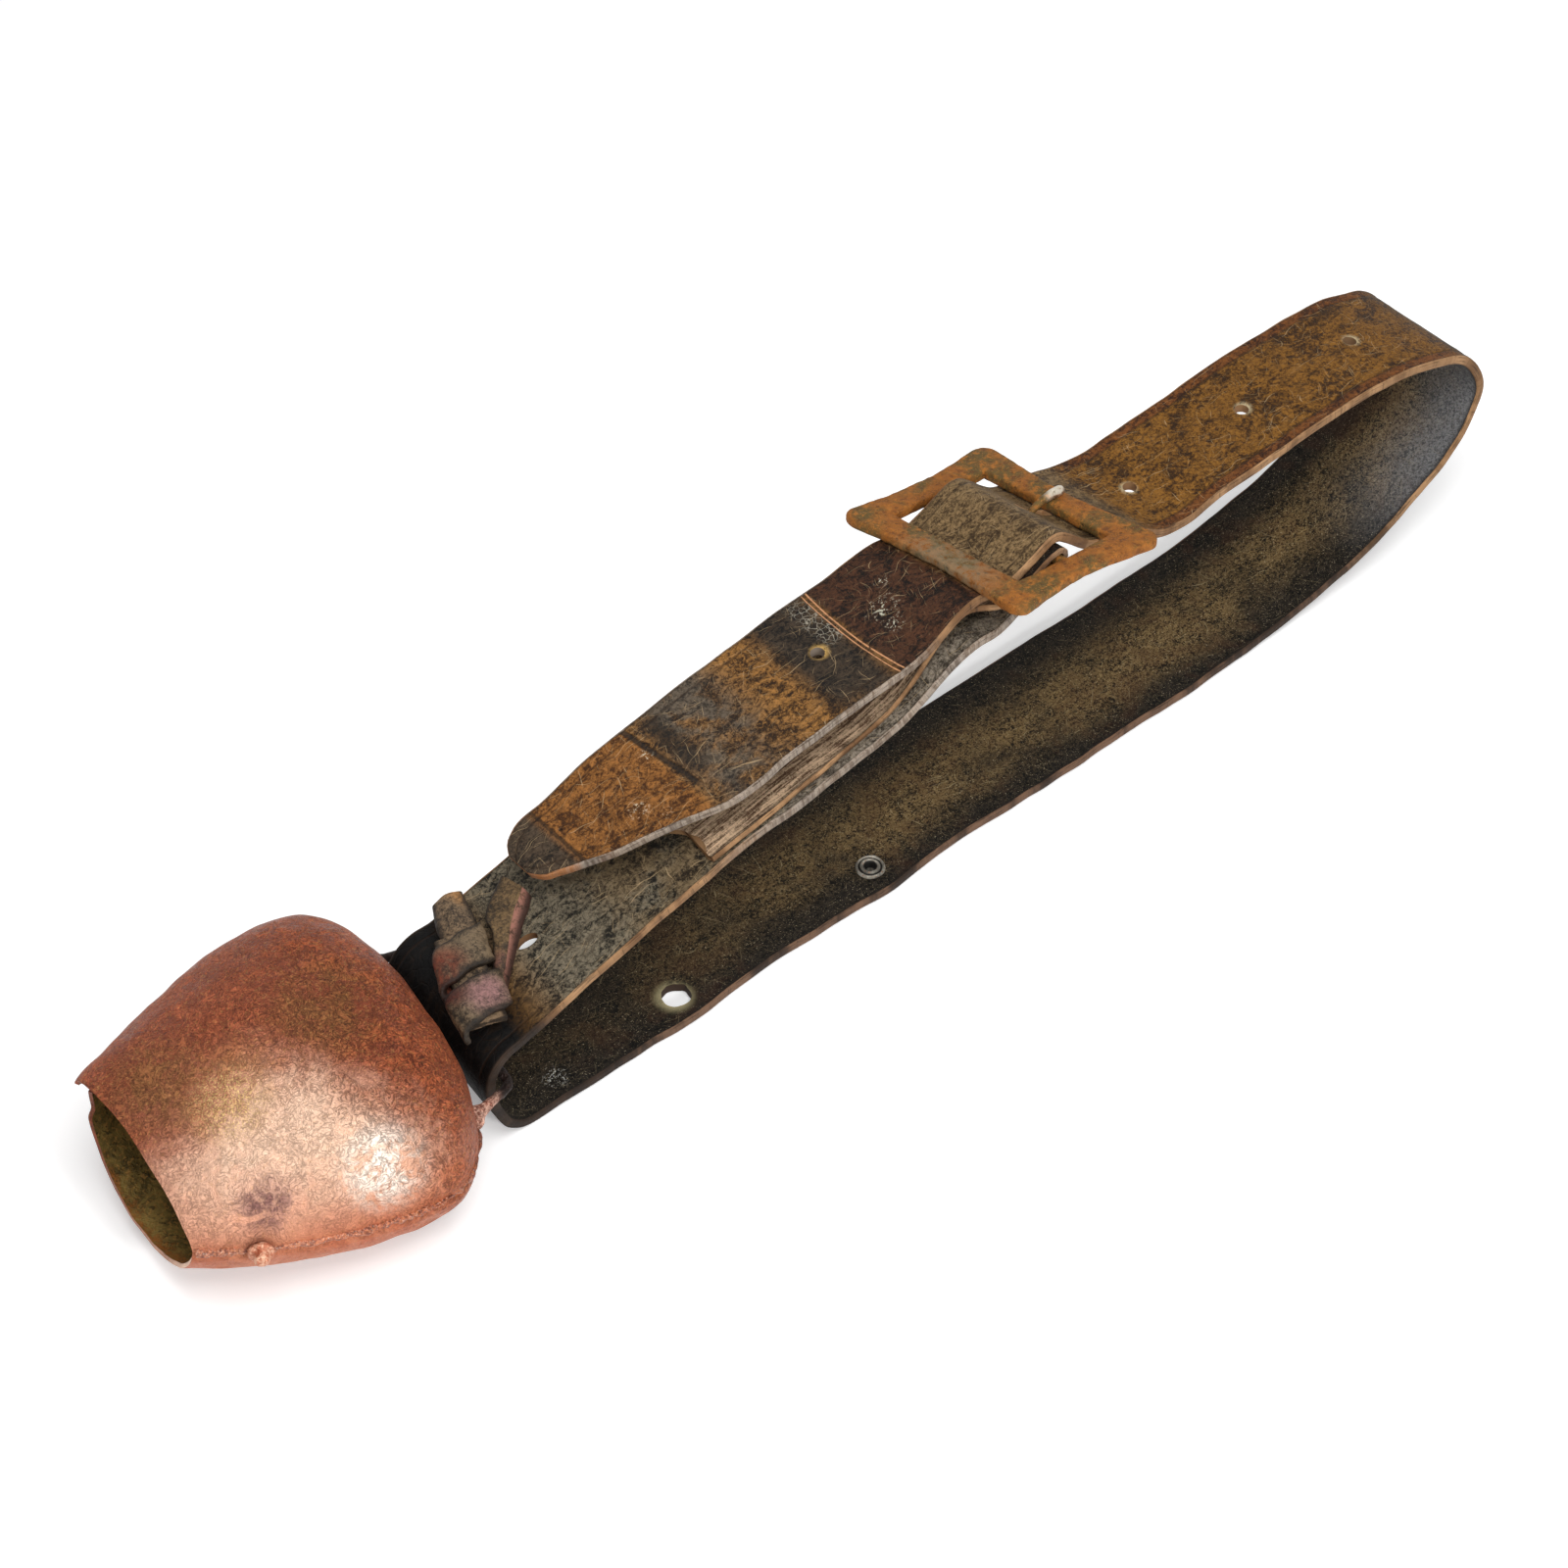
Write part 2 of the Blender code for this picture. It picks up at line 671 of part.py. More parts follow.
def tongue_line():
    eye = BAR_ROD / 2 + FIT_GAP + TONGUE_ROD / 2
    rest = FRAME_THICK / 2 + FIT_GAP + TONGUE_ROD / 2
    bar_in = WINDOW_LENGTH / 2
    tip = WINDOW_LENGTH / 2 + TONGUE_REACH
    shaft = [
        (bar_in * 0.25, -eye * 0.86), (bar_in * 0.5, -eye * 0.40), (bar_in * 0.75, rest * 0.42),
        (bar_in, rest * 0.93), (bar_in + BUCKLE_BAR_WIDTH * 0.4, rest), (tip, rest),
    ]
    loop = arc(eye, 20, 270, 12)
    return loop + shaft


def make_tongue(material, pivot):
    points = [Vector((x, 0.0, z)) for x, z in tongue_line()]
    rod("buckle_tongue", points, TONGUE_ROD, material, pivot, resolution=3)


# Collar: one strap from the folded chape end, round the bail and the bend, to the tip
def station(x, z, half, near=None, yaw=0.0, roll=0.0, skive=1.0):
    return (x, z, -half if near is None else near, half, yaw, roll, skive)


def at_buckle(x, z, half, skive=1.0, hold=1.0):
    frame = buckle_frame_matrix()
    ruling = frame.to_3x3() @ Vector((0.0, 1.0, 0.0))
    point = frame @ Vector((x, 0.0, z))
    level = point - ruling * (point.y / ruling.y)
    return station(
        level.x, level.z, half,
        yaw=hold * math.atan2(-ruling.x, ruling.y), roll=hold * math.asin(ruling.z), skive=skive,
    )


def fold_centre(bell):
    bar = bell.translation
    reach = FOLD_RADIUS - BAIL_ROD / 2 - 2 * FIT_GAP
    half = COLLAR_WIDTH / 2 / (math.cos(FOLD_ROLL) * math.cos(BELL_YAW))
    tilt = half * math.sin(BELL_ROLL - FOLD_ROLL)
    return bar.x + math.sqrt(max(reach**2 - tilt**2, 0.0)), bar.z


def strap_keys(bell):
    wide, slim, tip = COLLAR_WIDTH / 2, BILLET_WIDTH / 2, TIP_WIDTH / 2
    broad = wide - CHAPE_INSET
    floor = LEATHER / 2
    wrap = BAR_ROD / 2 + FIT_GAP + CHAPE / 2
    over = BAR_ROD / 2 + FIT_GAP + max(CHAPE, TONGUE_ROD) + LAYER_GAP + LEATHER / 2
    bar_in = WINDOW_LENGTH / 2
    bar_out = BUCKLE_LENGTH / 2
    under = -FRAME_THICK / 2 - LAYER_GAP - LEATHER / 2
    second = under - LEATHER / 2 - LAYER_GAP - CHAPE / 2
    third = second - CHAPE / 2 - LAYER_GAP - LEATHER / 2
    main = [station(x, z, wide) for x, z in zip(MAIN_RUN_X, MAIN_RUN_Z)]
    lift = (LEATHER + CHAPE) / 2 + CHAPE_LIFT
    chape = [station(x, z + lift, wide, skive=CHAPE_SKIVE) for x, z, *_ in reversed(main)]
    chape += [
        at_buckle(-bar_out, second, broad, CHAPE_SKIVE),
        at_buckle(-bar_in, second, broad, CHAPE_SKIVE),
    ]
    bend = [at_buckle(x, z, broad, CHAPE_SKIVE) for x, z in arc(wrap, 122, -118, 8)]
    main = [
        at_buckle(-bar_in * 0.45, -wrap - LEATHER - LOOP_SLACK / 3, broad, 0.85, hold=0.8),
        at_buckle(-bar_in, third - LOOP_SLACK, broad, hold=0.4),
        at_buckle(-bar_out, third - LOOP_SLACK, wide, hold=0.2),
    ] + main
    fold_x, fold_z = fold_centre(bell)
    turn = FOLD_RADIUS + LEATHER / 2
    entry = mix(fold_z + turn, NECK_Z, 0.45)
    main += [
        station(NECK_X, NECK_Z, wide, roll=FOLD_ROLL * 0.1),
        station(FOLD_ENTRY_X, entry, wide, yaw=BELL_YAW * 0.5, roll=FOLD_ROLL * 0.5),
    ]
    deep = mix(turn, fold_z - floor, FOLD_SAG)
    fold = [
        station(fold_x + x, fold_z + (z if z > 0 else z / turn * deep), wide, yaw=BELL_YAW, roll=FOLD_ROLL)
        for x, z in arc(turn, 90, 262, 8)
    ]
    leaving = mix(floor, fold_z - deep, 0.34)
    lower = [
        station(FOLD_EXIT_X, leaving, wide, yaw=BELL_YAW * 0.4, roll=FOLD_ROLL * 0.35),
        station(RUN_START_X, floor, wide),
        station(RUN_START_X + RUN_EASE, floor, wide),
        station(RUN_END_X - RUN_EASE, floor, wide),
        station(RUN_END_X, floor, wide),
    ]
    reach, top = BEND_REACH, BEND_HEIGHT
    rise = top - floor
    stops = len(TURN_BACK) + len(CREST_BACK) + 1
    taper = [mix(wide, slim, (step + 1) / stops) for step in range(stops)]
    turn_up = [
        station(reach - back, floor + rise * share, half)
        for back, share, half in zip(TURN_BACK, TURN_RISE, taper)
    ]
    upper = [
        station(reach - back, floor + rise * share, half)
        for back, share, half in zip(CREST_BACK, CREST_RISE, taper[len(TURN_BACK):])
    ]
    upper += [station(reach - back, top - drop, slim) for back, drop in zip(UPPER_BACK[:-1], UPPER_DROP)]
    upper.append(station(reach - UPPER_BACK[-1], top - UPPER_DROP[-1], slim, yaw=BUCKLE_YAW * 0.6))
    through = [at_buckle(bar_out, under - LAYER_GAP, slim), at_buckle(bar_in, under, slim)]
    through += [at_buckle(x, z, slim) for x, z in arc(over, 50, 130, 4)]
    through += [at_buckle(-bar_in, under, slim), at_buckle(-bar_out, under, slim)]
    end = Vector((TIP_END_X, TIP_END_Z))
    low = -tip - TIP_SHIFT
    flats = [station(x, z, tip - TIP_SHIFT, near=low) for x, z in zip(TAIL_X[1:], TAIL_Z[1:])]
    tapers = [
        station(x, z, tip, near=-tip * share)
        for x, z, share in zip(TIP_TAPER_X, TIP_TAPER_Z, (0.68, 0.32))
    ]
    tail = [
        station(TAIL_X[0], TAIL_Z[0], tip - TIP_SHIFT, near=low, yaw=BUCKLE_YAW * 0.4),
        *flats,
        *tapers,
        station(end.x + TIP_ROUND[0], end.y + TIP_FALL[0], tip * 0.97, near=0.0),
        station(end.x + TIP_ROUND[1], end.y + TIP_FALL[1], tip * 0.86, near=tip * 0.12),
        station(end.x, end.y, tip * 0.72, near=tip * 0.28),
    ]
    return {
        "chape": chape, "bend": bend, "main": main, "fold": fold, "lower": lower,
        "turn_up": turn_up, "upper": upper, "through": through, "tail": tail,
    }


def strap_line(keys):
    marks = [(name, key) for name, run in keys.items() for key in run]
    points = [key for _, key in marks]
    reach = [0.0]
    for before, after in zip(points, points[1:]):
        reach.append(reach[-1] + math.hypot(after[0] - before[0], after[1] - before[1]))

    def slope(index):
        low, high = max(index - 1, 0), min(index + 1, len(points) - 1)
        if low == index or high == index:
            span = reach[high] - reach[low]
            return [(b - a) / span for a, b in zip(points[low], points[high])]
        back, ahead = reach[index] - reach[low], reach[high] - reach[index]
        return [
            ((here - a) / back * ahead + (b - here) / ahead * back) / (back + ahead)
            for a, here, b in zip(points[low], points[index], points[high])
        ]

    line = []
    for index in range(len(points) - 1):
        span = reach[index + 1] - reach[index]
        count = max(1, math.ceil(span / PATH_STEP))
        start, end = slope(index), slope(index + 1)
        for step in range(count):
            share = step / count
            square, cube = share * share, share**3
            weights = (2 * cube - 3 * square + 1, (cube - 2 * square + share) * span,
                       3 * square - 2 * cube, (cube - square) * span)
            values = [
                a * weights[0] + m * weights[1] + b * weights[2] + n * weights[3]
                for a, m, b, n in zip(points[index], start, points[index + 1], end)
            ]
            line.append((marks[index][0], values))
    line.append((marks[-1][0], list(points[-1])))
    return line


def strap_point(values, y):
    x, z, _, _, yaw, roll, _ = values
    ruling = Vector((-math.sin(yaw) * math.cos(roll), math.cos(yaw) * math.cos(roll), math.sin(roll)))
    return Vector((x, 0.0, z)) + ruling * (y / ruling.y)


def strap_seat(line, run, x, y):
    """The mid-surface point of a named run at x and y, with the surface's upward normal."""
    last = max(index for index, (name, _) in enumerate(line) if name == run)
    first = min(index for index, (name, _) in enumerate(line) if name == run)
    stops = [values for _, values in line[first:last + 2]]
    for before, after in zip(stops, stops[1:]):
        low, high = strap_point(before, y), strap_point(after, y)
        if min(low.x, high.x) <= x <= max(low.x, high.x):
            share = (x - low.x) / (high.x - low.x)
            values = [mix(a, b, share) for a, b in zip(before, after)]
            across = strap_point(values, y + 0.001) - strap_point(values, y - 0.001)
            normal = (high - low).cross(across).normalized()
            return low.lerp(high, share), normal if normal.z > 0 else -normal
    raise ValueError(f"no strap at {x} on {run}")


def make_strap(line, material):
    columns = [step / STRAP_COLUMNS for step in range(STRAP_COLUMNS + 1)]

    def build(body):
        add_grid(body, [
            [strap_point(values, mix(values[2], values[3], share)) for share in columns]
            for _, values in line
        ])

    made = place("strap", mesh_of("strap", build), material)
    thin = made.vertex_groups.new(name="skived")
    for row, (_, values) in enumerate(line):
        first = row * len(columns)
        thin.add(list(range(first, first + len(columns))), min(values[6], 1.0), "REPLACE")
    wall = solidify(made, LEATHER, 0)
    wall.vertex_group = "skived"
    wall.thickness_vertex_group = 0.0
    cut(made, strap_cutters)
    shade(made, 50)
    return made


def punch_strap(line):
    deep = LEATHER * 3
    for index in range(3):
        seat, normal = strap_seat(line, "upper", FIRST_HOLE_X + index * HOLE_SPACING, 0.0)
        pin_cutter(f"punch_{index + 1}", HOLE_RADIUS, deep, strap_cutters, along(normal, seat), sides=14)
    seat, normal = strap_seat(line, "tail", TAIL_HOLE_X, 0.0)
    pin_cutter("punch_tail", HOLE_RADIUS, deep, strap_cutters, along(normal, seat), sides=14)
    seat, normal = strap_seat(line, "lower", WORN_HOLE_X, EDGE_HOLE_INSET - COLLAR_WIDTH / 2)
    pin_cutter("worn_hole", WORN_HOLE_RADIUS, deep, strap_cutters, along(normal, seat), sides=20)
    start, lift = strap_seat(line, "main", SLIT_X[0], SLIT_Y[0])
    end, _ = strap_seat(line, "main", SLIT_X[1], SLIT_Y[1])
    heading = (end - start).normalized()
    across = lift.cross(heading).normalized()
    up = heading.cross(across)
    turn = Matrix((heading, across, up)).transposed().to_4x4()
    box_cutter("thong_slit", ((end - start).length, SLIT_WIDTH, deep), strap_cutters,
               Matrix.Translation((start + end) / 2) @ turn)


def punch_tongue(pivot):
    room = TONGUE_ROD / 2 + TONGUE_SLOT_ROOM
    wrap = BAR_ROD / 2 + FIT_GAP + max(CHAPE, TONGUE_ROD)
    over = wrap + LAYER_GAP
    slot_top = (wrap + over) / 2
    back, ahead = -CHAPE_SLOT_BACK * over, CHAPE_SLOT_AHEAD * over
    box_cutter("chape_slot", (ahead - back, 2 * room, 2 * slot_top), strap_cutters,
               pivot.matrix_world @ Matrix.Translation(((back + ahead) / 2, 0.0, 0.0)))
    start = WINDOW_LENGTH / 2 * TONGUE_HOLE_START
    end = WINDOW_LENGTH / 2 + TONGUE_HOLE_END
    box_cutter("tongue_hole", (end - start, 2 * room, TONGUE_HOLE_DEPTH), strap_cutters,
               pivot.matrix_world @ Matrix.Translation(((start + end) / 2, 0.0, 0.0)))


def make_stud(name, seat, normal, upper, lower, material):
    """A rivet through leather reaching upper above its seat and lower below it, with its burr."""
    frame = along(normal, seat)
    top = upper + FIT_GAP
    burr_top = -lower - FIT_GAP
    tail = burr_top - BURR_THICK - FIT_GAP
    outline = [
        (0.0, top + STUD_CROWN), (STUD_HEAD * 0.45, top + STUD_CROWN),
        (STUD_HEAD * 0.85, top + STUD_CROWN * 0.6), (STUD_HEAD, top),
        (STUD_SHANK, top), (STUD_SHANK, tail), (STUD_SHANK + STUD_PEEN, tail),
        (STUD_SHANK + STUD_PEEN * 0.75, tail - STUD_TAIL), (0.0, tail - STUD_TAIL),
    ]
    turned(f"{name}_rivet", outline, material, None, frame, steps=18)
    eye = STUD_SHANK + FIT_GAP
    turned(
        f"{name}_burr",
        ((eye, burr_top), (BURR_RADIUS, burr_top), (BURR_RADIUS, burr_top - BURR_THICK),
         (eye, burr_top - BURR_THICK)),
        material, None, frame, steps=18, ring=True,
    )
    pin_cutter(f"{name}_hole", eye, 6 * LEATHER, strap_cutters, frame, sides=16)


def make_studs(line, material):
    for side, suffix in ((-1, "near"), (1, "far")):
        high, normal = strap_seat(line, "chape", CHAPE_STUD_X, side * CHAPE_STUD_Y)
        low, _ = strap_seat(line, "main", CHAPE_STUD_X, side * CHAPE_STUD_Y)
        depth = (high - low).dot(normal)
        make_stud(f"chape_{suffix}", high, normal, CHAPE / 2 + FIT_GAP,
                  depth + LEATHER / 2 + FIT_GAP, material)


def make_eyelet(line, material):
    seat, normal = strap_seat(line, "lower", EYELET_X, EYELET_INSET - COLLAR_WIDTH / 2)
    frame = along(normal, seat)
    top = LEATHER / 2 + FIT_GAP
    inner, outer = EYELET_BORE, EYELET_BORE + EYELET_WALL
    low = -LEATHER / 2 + FIT_GAP
    turned(
        "run_eyelet",
        ((inner, top + STUD_CROWN * 0.6), (STUD_HEAD * 0.9, top + STUD_CROWN * 0.6),
         (STUD_HEAD, top), (outer, top), (outer, low), (inner, low)),
        material, None, frame, steps=20, ring=True,
    )
    pin_cutter("eyelet_hole", outer + FIT_GAP, 6 * LEATHER, strap_cutters, frame, sides=20)


# Thong: a folded core with bands wound round it, and a free tail that lies on the strap
def make_thong(line, material):
    above = LEATHER / 2 + FIT_GAP
    band_half = THONG_CORE_WIDTH / 2 + WRAP_ROOM + THONG / 2
    band_rise = THONG + WRAP_ROOM + THONG / 2
    far, normal = strap_seat(line, "main", THONG_CORE_X[0], THONG_CORE_Y[0])
    near, near_normal = strap_seat(line, "main", THONG_CORE_X[1], THONG_CORE_Y[1])
    lift = band_rise + THONG / 2 + above
    start, end = far + normal * lift, near + near_normal * lift
    axis = (end - start).normalized()
    up = ((normal + near_normal) / 2 - axis * axis.dot((normal + near_normal) / 2)).normalized()
    across = up.cross(axis)
    length = (end - start).length
    turn = Matrix((axis, across, up)).transposed().to_4x4()
    frame = Matrix.Translation(start) @ turn

    def core(body):
        sides = 18
        rings = (
            (-THONG_TAIL_OUT, 0.55, 0.5, 0.35), (-THONG_TAIL_OUT * 0.4, 0.85, 0.8, 0.1),
            (0.0, 1.0, 1.0, 0.0), (length, 1.0, 1.0, 0.0),
        )
        rows = []
        for shift, wide, thick, skew in rings:
            turns = [2 * math.pi * side / sides for side in range(sides)]
            rows.append([
                (shift + skew * THONG_CORE_WIDTH / 2 * math.cos(turn),
                 wide * THONG_CORE_WIDTH / 2 * math.cos(turn), thick * THONG * math.sin(turn))
                for turn in turns
            ])
        grid = add_grid(body, rows, closed_rows=True)
        body.faces.new(reversed(grid[0]))
        body.faces.new(grid[-1])
        bmesh.ops.recalc_face_normals(body, faces=body.faces)

    made = place("thong_core", mesh_of("thong_core", core), material, None, frame)
    shade(made)

    steps = 20
    turns = []

    def band(body):
        rows = turns
        first = length - WRAP_PITCH * WRAP_TURNS - WRAP_WIDTH
        for step in range(steps * WRAP_TURNS + 1):
            angle = 2 * math.pi * step / steps
            shift = first + WRAP_PITCH * step / steps + WRAP_WIDTH / 2
            rows.append([
                Vector((shift + edge * WRAP_WIDTH, band_half * math.sin(angle), band_rise * math.cos(angle)))
                for edge in (-0.5, 0.0, 0.5)
            ])
        add_grid(body, rows)
        bmesh.ops.recalc_face_normals(body, faces=body.faces)

    made = place("thong_wrap", mesh_of("thong_wrap", band), material, None, frame)
    solidify(made, THONG, 0)
    shade(made)
    least = min((low[-1] - high[0]).length for low, high in zip(turns, turns[steps:]))
    print(f"thong_wrap: least gap between its turns {least * 1000:.2f} mm")

    high, normal = strap_seat(line, "main", FREE_TAIL_X[0], FREE_TAIL_Y[0])
    low, _ = strap_seat(line, "main", FREE_TAIL_X[1], FREE_TAIL_Y[1])
    heading = (low - high).normalized()
    side = normal.cross(heading).normalized()
    run = (low - high).length

    def tail(body):
        rows = []
        for step in range(7):
            share = step / 6
            centre = high + heading * run * share + normal * (above + THONG / 2 + LAYER_GAP)
            half = FREE_TAIL_WIDTH / 2 * mix(1.0, 0.35, share)
            rows.append([centre - side * half, centre, centre + side * half])
        add_grid(body, rows)

    made = place("thong_tail", mesh_of("thong_tail", tail), material)
    solidify(made, THONG, 0)
    shade(made)


clear_scene()
parts = new_collection("cow_bell_collar")
bell_cutters = new_collection("bell_cutters", hidden=True)
buckle_cutters = new_collection("buckle_cutters", hidden=True)
strap_cutters = new_collection("strap_cutters", hidden=True)

copper = finish("hammered_copper_wash", (0.42, 0.15, 0.08), 0.45, 0.85)
iron = finish("dark_iron", (0.10, 0.08, 0.06), 0.6, 0.8)
rust = finish("rusted_iron", (0.30, 0.13, 0.04), 0.7, 0.4)
leather = finish("old_leather", (0.14, 0.08, 0.03), 0.6, 0.0)
thong_leather = finish("thong_leather", (0.20, 0.12, 0.09), 0.7, 0.0)

bell_pivot = bpy.data.objects.new("bell_pivot", None)
parts.objects.link(bell_pivot)
bell_pivot.matrix_world = bell_rest()
buckle_pivot = bpy.data.objects.new("buckle_pivot", None)
parts.objects.link(buckle_pivot)
buckle_pivot.matrix_world = buckle_frame_matrix()
bpy.context.view_layer.update()

make_bail(copper, bell_pivot)
make_staple(iron, bell_pivot)
make_seam_rivets(copper, bell_pivot)
make_shell("bell_upper_shell", copper, bell_pivot, lower=False)
make_shell("bell_lower_shell", copper, bell_pivot, lower=True)
clapper_pivot, clapper_lean = make_clapper(iron, bell_pivot)

make_buckle(rust, buckle_pivot)
make_tongue(rust, buckle_pivot)

path = strap_line(strap_keys(bell_pivot.matrix_world))
punch_strap(path)
punch_tongue(buckle_pivot)
make_studs(path, rust)
make_eyelet(path, rust)
make_strap(path, leather)
make_thong(path, thong_leather)
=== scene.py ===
import json
import math

import bmesh
import bpy
import numpy as np
from mathutils import Matrix, Vector, noise

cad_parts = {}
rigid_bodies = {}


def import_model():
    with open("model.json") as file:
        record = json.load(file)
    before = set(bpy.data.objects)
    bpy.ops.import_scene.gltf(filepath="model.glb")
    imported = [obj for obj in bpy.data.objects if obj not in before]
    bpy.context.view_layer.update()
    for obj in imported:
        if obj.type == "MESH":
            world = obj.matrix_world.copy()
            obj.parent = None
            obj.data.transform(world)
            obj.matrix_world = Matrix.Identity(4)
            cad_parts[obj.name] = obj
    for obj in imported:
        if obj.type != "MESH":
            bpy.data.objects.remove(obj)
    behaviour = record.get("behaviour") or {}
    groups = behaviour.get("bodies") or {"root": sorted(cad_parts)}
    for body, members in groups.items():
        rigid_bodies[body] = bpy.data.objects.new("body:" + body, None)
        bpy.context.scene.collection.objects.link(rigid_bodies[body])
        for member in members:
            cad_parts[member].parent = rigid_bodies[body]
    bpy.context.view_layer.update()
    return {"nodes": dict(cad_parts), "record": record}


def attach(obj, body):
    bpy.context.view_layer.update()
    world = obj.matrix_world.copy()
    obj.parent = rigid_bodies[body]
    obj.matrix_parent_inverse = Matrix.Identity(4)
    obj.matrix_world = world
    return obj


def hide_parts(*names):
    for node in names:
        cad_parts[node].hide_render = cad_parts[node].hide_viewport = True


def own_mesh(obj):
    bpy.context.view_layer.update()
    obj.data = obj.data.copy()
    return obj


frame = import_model()
joints = {joint["name"]: joint for joint in frame["record"]["behaviour"]["joints"]}


def mix(low, high, share):
    return low + (high - low) * share


def shares(steps):
    return [step / steps for step in range(steps + 1)]


def ease(share):
    held = min(max(share, 0.0), 1.0)
    return held * held * (3 - 2 * held)


def bump(x, centre, width):
    return math.exp(-(((x - centre) / width) ** 2))


def ripple(scale, *place):
    return noise.noise(Vector(place) * scale)


def tone(red, green, blue):
    # a screen colour, 0 to 255, as the renderer's linear colour
    parts = [value / 255 for value in (red, green, blue)]
    return tuple(v / 12.92 if v <= 0.04045 else ((v + 0.055) / 1.055) ** 2.4 for v in parts) + (1.0,)


class Wire:
    # one node socket; arithmetic on it adds Math nodes
    def __init__(self, tree, socket=None):
        self.tree = tree
        self.socket = socket

    def put(self, kind, settings=None, values=None, out=0):
        made = self.tree.nodes.new(kind)
        for key, value in (settings or {}).items():
            setattr(made, key, value)
        for key, value in (values or {}).items():
            if isinstance(value, Wire):
                self.tree.links.new(value.socket, made.inputs[key])
            else:
                made.inputs[key].default_value = value
        return Wire(self.tree, made.outputs[out])

    def other(self, out):
        return Wire(self.tree, self.socket.node.outputs[out])

    def maths(self, operation, *values):
        return self.put("ShaderNodeMath", {"operation": operation}, dict(enumerate(values)))

    def vectors(self, operation, *values, out=0):
        return self.put("ShaderNodeVectorMath", {"operation": operation}, dict(enumerate(values)), out)

    def axes(self):
        # x, y and z of this vector
        split = self.put("ShaderNodeSeparateXYZ", None, {0: self})
        return split, split.other(1), split.other(2)

    def __pow__(self, other):
        return self.maths("POWER", self, other)

    def __abs__(self):
        return self.maths("ABSOLUTE", self)

    def rise(self, low, high):
        # 0 up to low, 1 from high on
        return self.put(
            "ShaderNodeMapRange", {"interpolation_type": "SMOOTHSTEP"}, {0: self, 1: low, 2: high})

    def band(self, start, end, soft):
        return self.rise(start - soft, start + soft) * (1 - self.rise(end - soft, end + soft))

    def paint(self, low, high):
        # colours mixed by this value: wires, or screen colours of three numbers
        low, high = (tone(*colour) if isinstance(colour, tuple) else colour for colour in (low, high))
        return self.put("ShaderNodeMix", {"data_type": "RGBA"}, {0: self, 6: low, 7: high}, 2)

    def coats(self, *rows):
        # this colour under layers of other colours, each with its mask
        colour = self
        for mask, shade in rows:
            colour = mask.paint(colour, shade)
        return colour

    def grain(self, scale, detail=4.0, rough=0.55, warp=0.0):
        # noise on this vector
        return self.put("ShaderNodeTexNoise", None, {
            "Vector": self, "Scale": scale, "Detail": detail, "Roughness": rough, "Distortion": warp})

    def cells(self, scale, feature="F1"):
        return self.put("ShaderNodeTexVoronoi", {"feature": feature}, {"Vector": self, "Scale": scale})

    def warped(self, scale, reach):
        # this vector pushed about by noise
        push = self.put("ShaderNodeTexNoise", None, {"Vector": self, "Scale": scale, "Detail": 2.0}, 1)
        centred = self.vectors("SUBTRACT", push, (0.5, 0.5, 0.5))
        return self.vectors("MULTIPLY_ADD", centred, (reach,) * 3, self)

    def cracks(self, scale, width):
        # 1 on the thin lines between cells
        return 1 - self.cells(scale, "DISTANCE_TO_EDGE").rise(0.0, width)

    def lines(self, angle, length, width, start, full):
        # scattered thin lines on a flat map, along one angle
        turned = self.put("ShaderNodeVectorRotate", {"rotation_type": "Z_AXIS"}, {
            "Vector": self, "Angle": math.radians(angle)})
        return turned.stretch(1 / length, 1 / width, 1).grain(1.0, 2, 0.5).rise(start, full)

    def stretch(self, *factors):
        return self.vectors("MULTIPLY", self, factors)

    def away(self, place):
        return self.vectors("DISTANCE", self, place, out=1)

    def near(self, place, reach):
        # 1 at a place in the mesh, 0 beyond reach
        return 1 - self.away(place).rise(reach * 0.25, reach)


def addSign(sign, operation):
    # a sign between a wire and a wire or a number, either way round
    setattr(Wire, f"__{sign}__", lambda self, other: self.maths(operation, self, other))
    setattr(Wire, f"__r{sign}__", lambda self, other: self.maths(operation, other, self))


for sign, operation in (("add", "ADD"), ("sub", "SUBTRACT"), ("mul", "MULTIPLY"), ("truediv", "DIVIDE")):
    addSign(sign, operation)


def newFinish(name, specular=0.5, metallic=0.0):
    made = bpy.data.materials.new(name)
    made.use_nodes = True
    shader = made.node_tree.nodes["Principled BSDF"]
    shader.inputs["Specular IOR Level"].default_value = specular
    shader.inputs["Metallic"].default_value = metallic
    return made, Wire(made.node_tree)


def dress(wire, colour, roughness, height, depth, strength=1.0, metallic=None):
    # joins a look to the shader, its height as bump of a depth in metres
    relief = wire.put("ShaderNodeBump", None, {"Height": height, "Distance": depth, "Strength": strength})
    shader = wire.tree.nodes["Principled BSDF"]
    joined = {"Base Color": colour, "Roughness": roughness, "Normal": relief, "Metallic": metallic}
    for name, value in joined.items():
        if value:
            wire.tree.links.new(value.socket, shader.inputs[name])


def link(name, data):
    made = bpy.data.objects.new(name, data)
    bpy.context.scene.collection.objects.link(made)
    return made


def place(name, points, faces, *finishes):
    mesh = bpy.data.meshes.new(name)
    mesh.from_pydata([tuple(point) for point in points], [], faces)
    for finish in finishes:
        mesh.materials.append(finish)
    return link(name, mesh)


def smooth(piece, angle):
    piece.data.shade_smooth()
    piece.data.set_sharp_from_angle(angle=math.radians(angle))
    return piece


def faceOut(mesh, merge=0.0):
    body = bmesh.new()
    body.from_mesh(mesh)
    if merge:
        bmesh.ops.remove_doubles(body, verts=body.verts, dist=merge)
    bmesh.ops.recalc_face_normals(body, faces=body.faces)
    body.to_mesh(mesh)
    body.free()


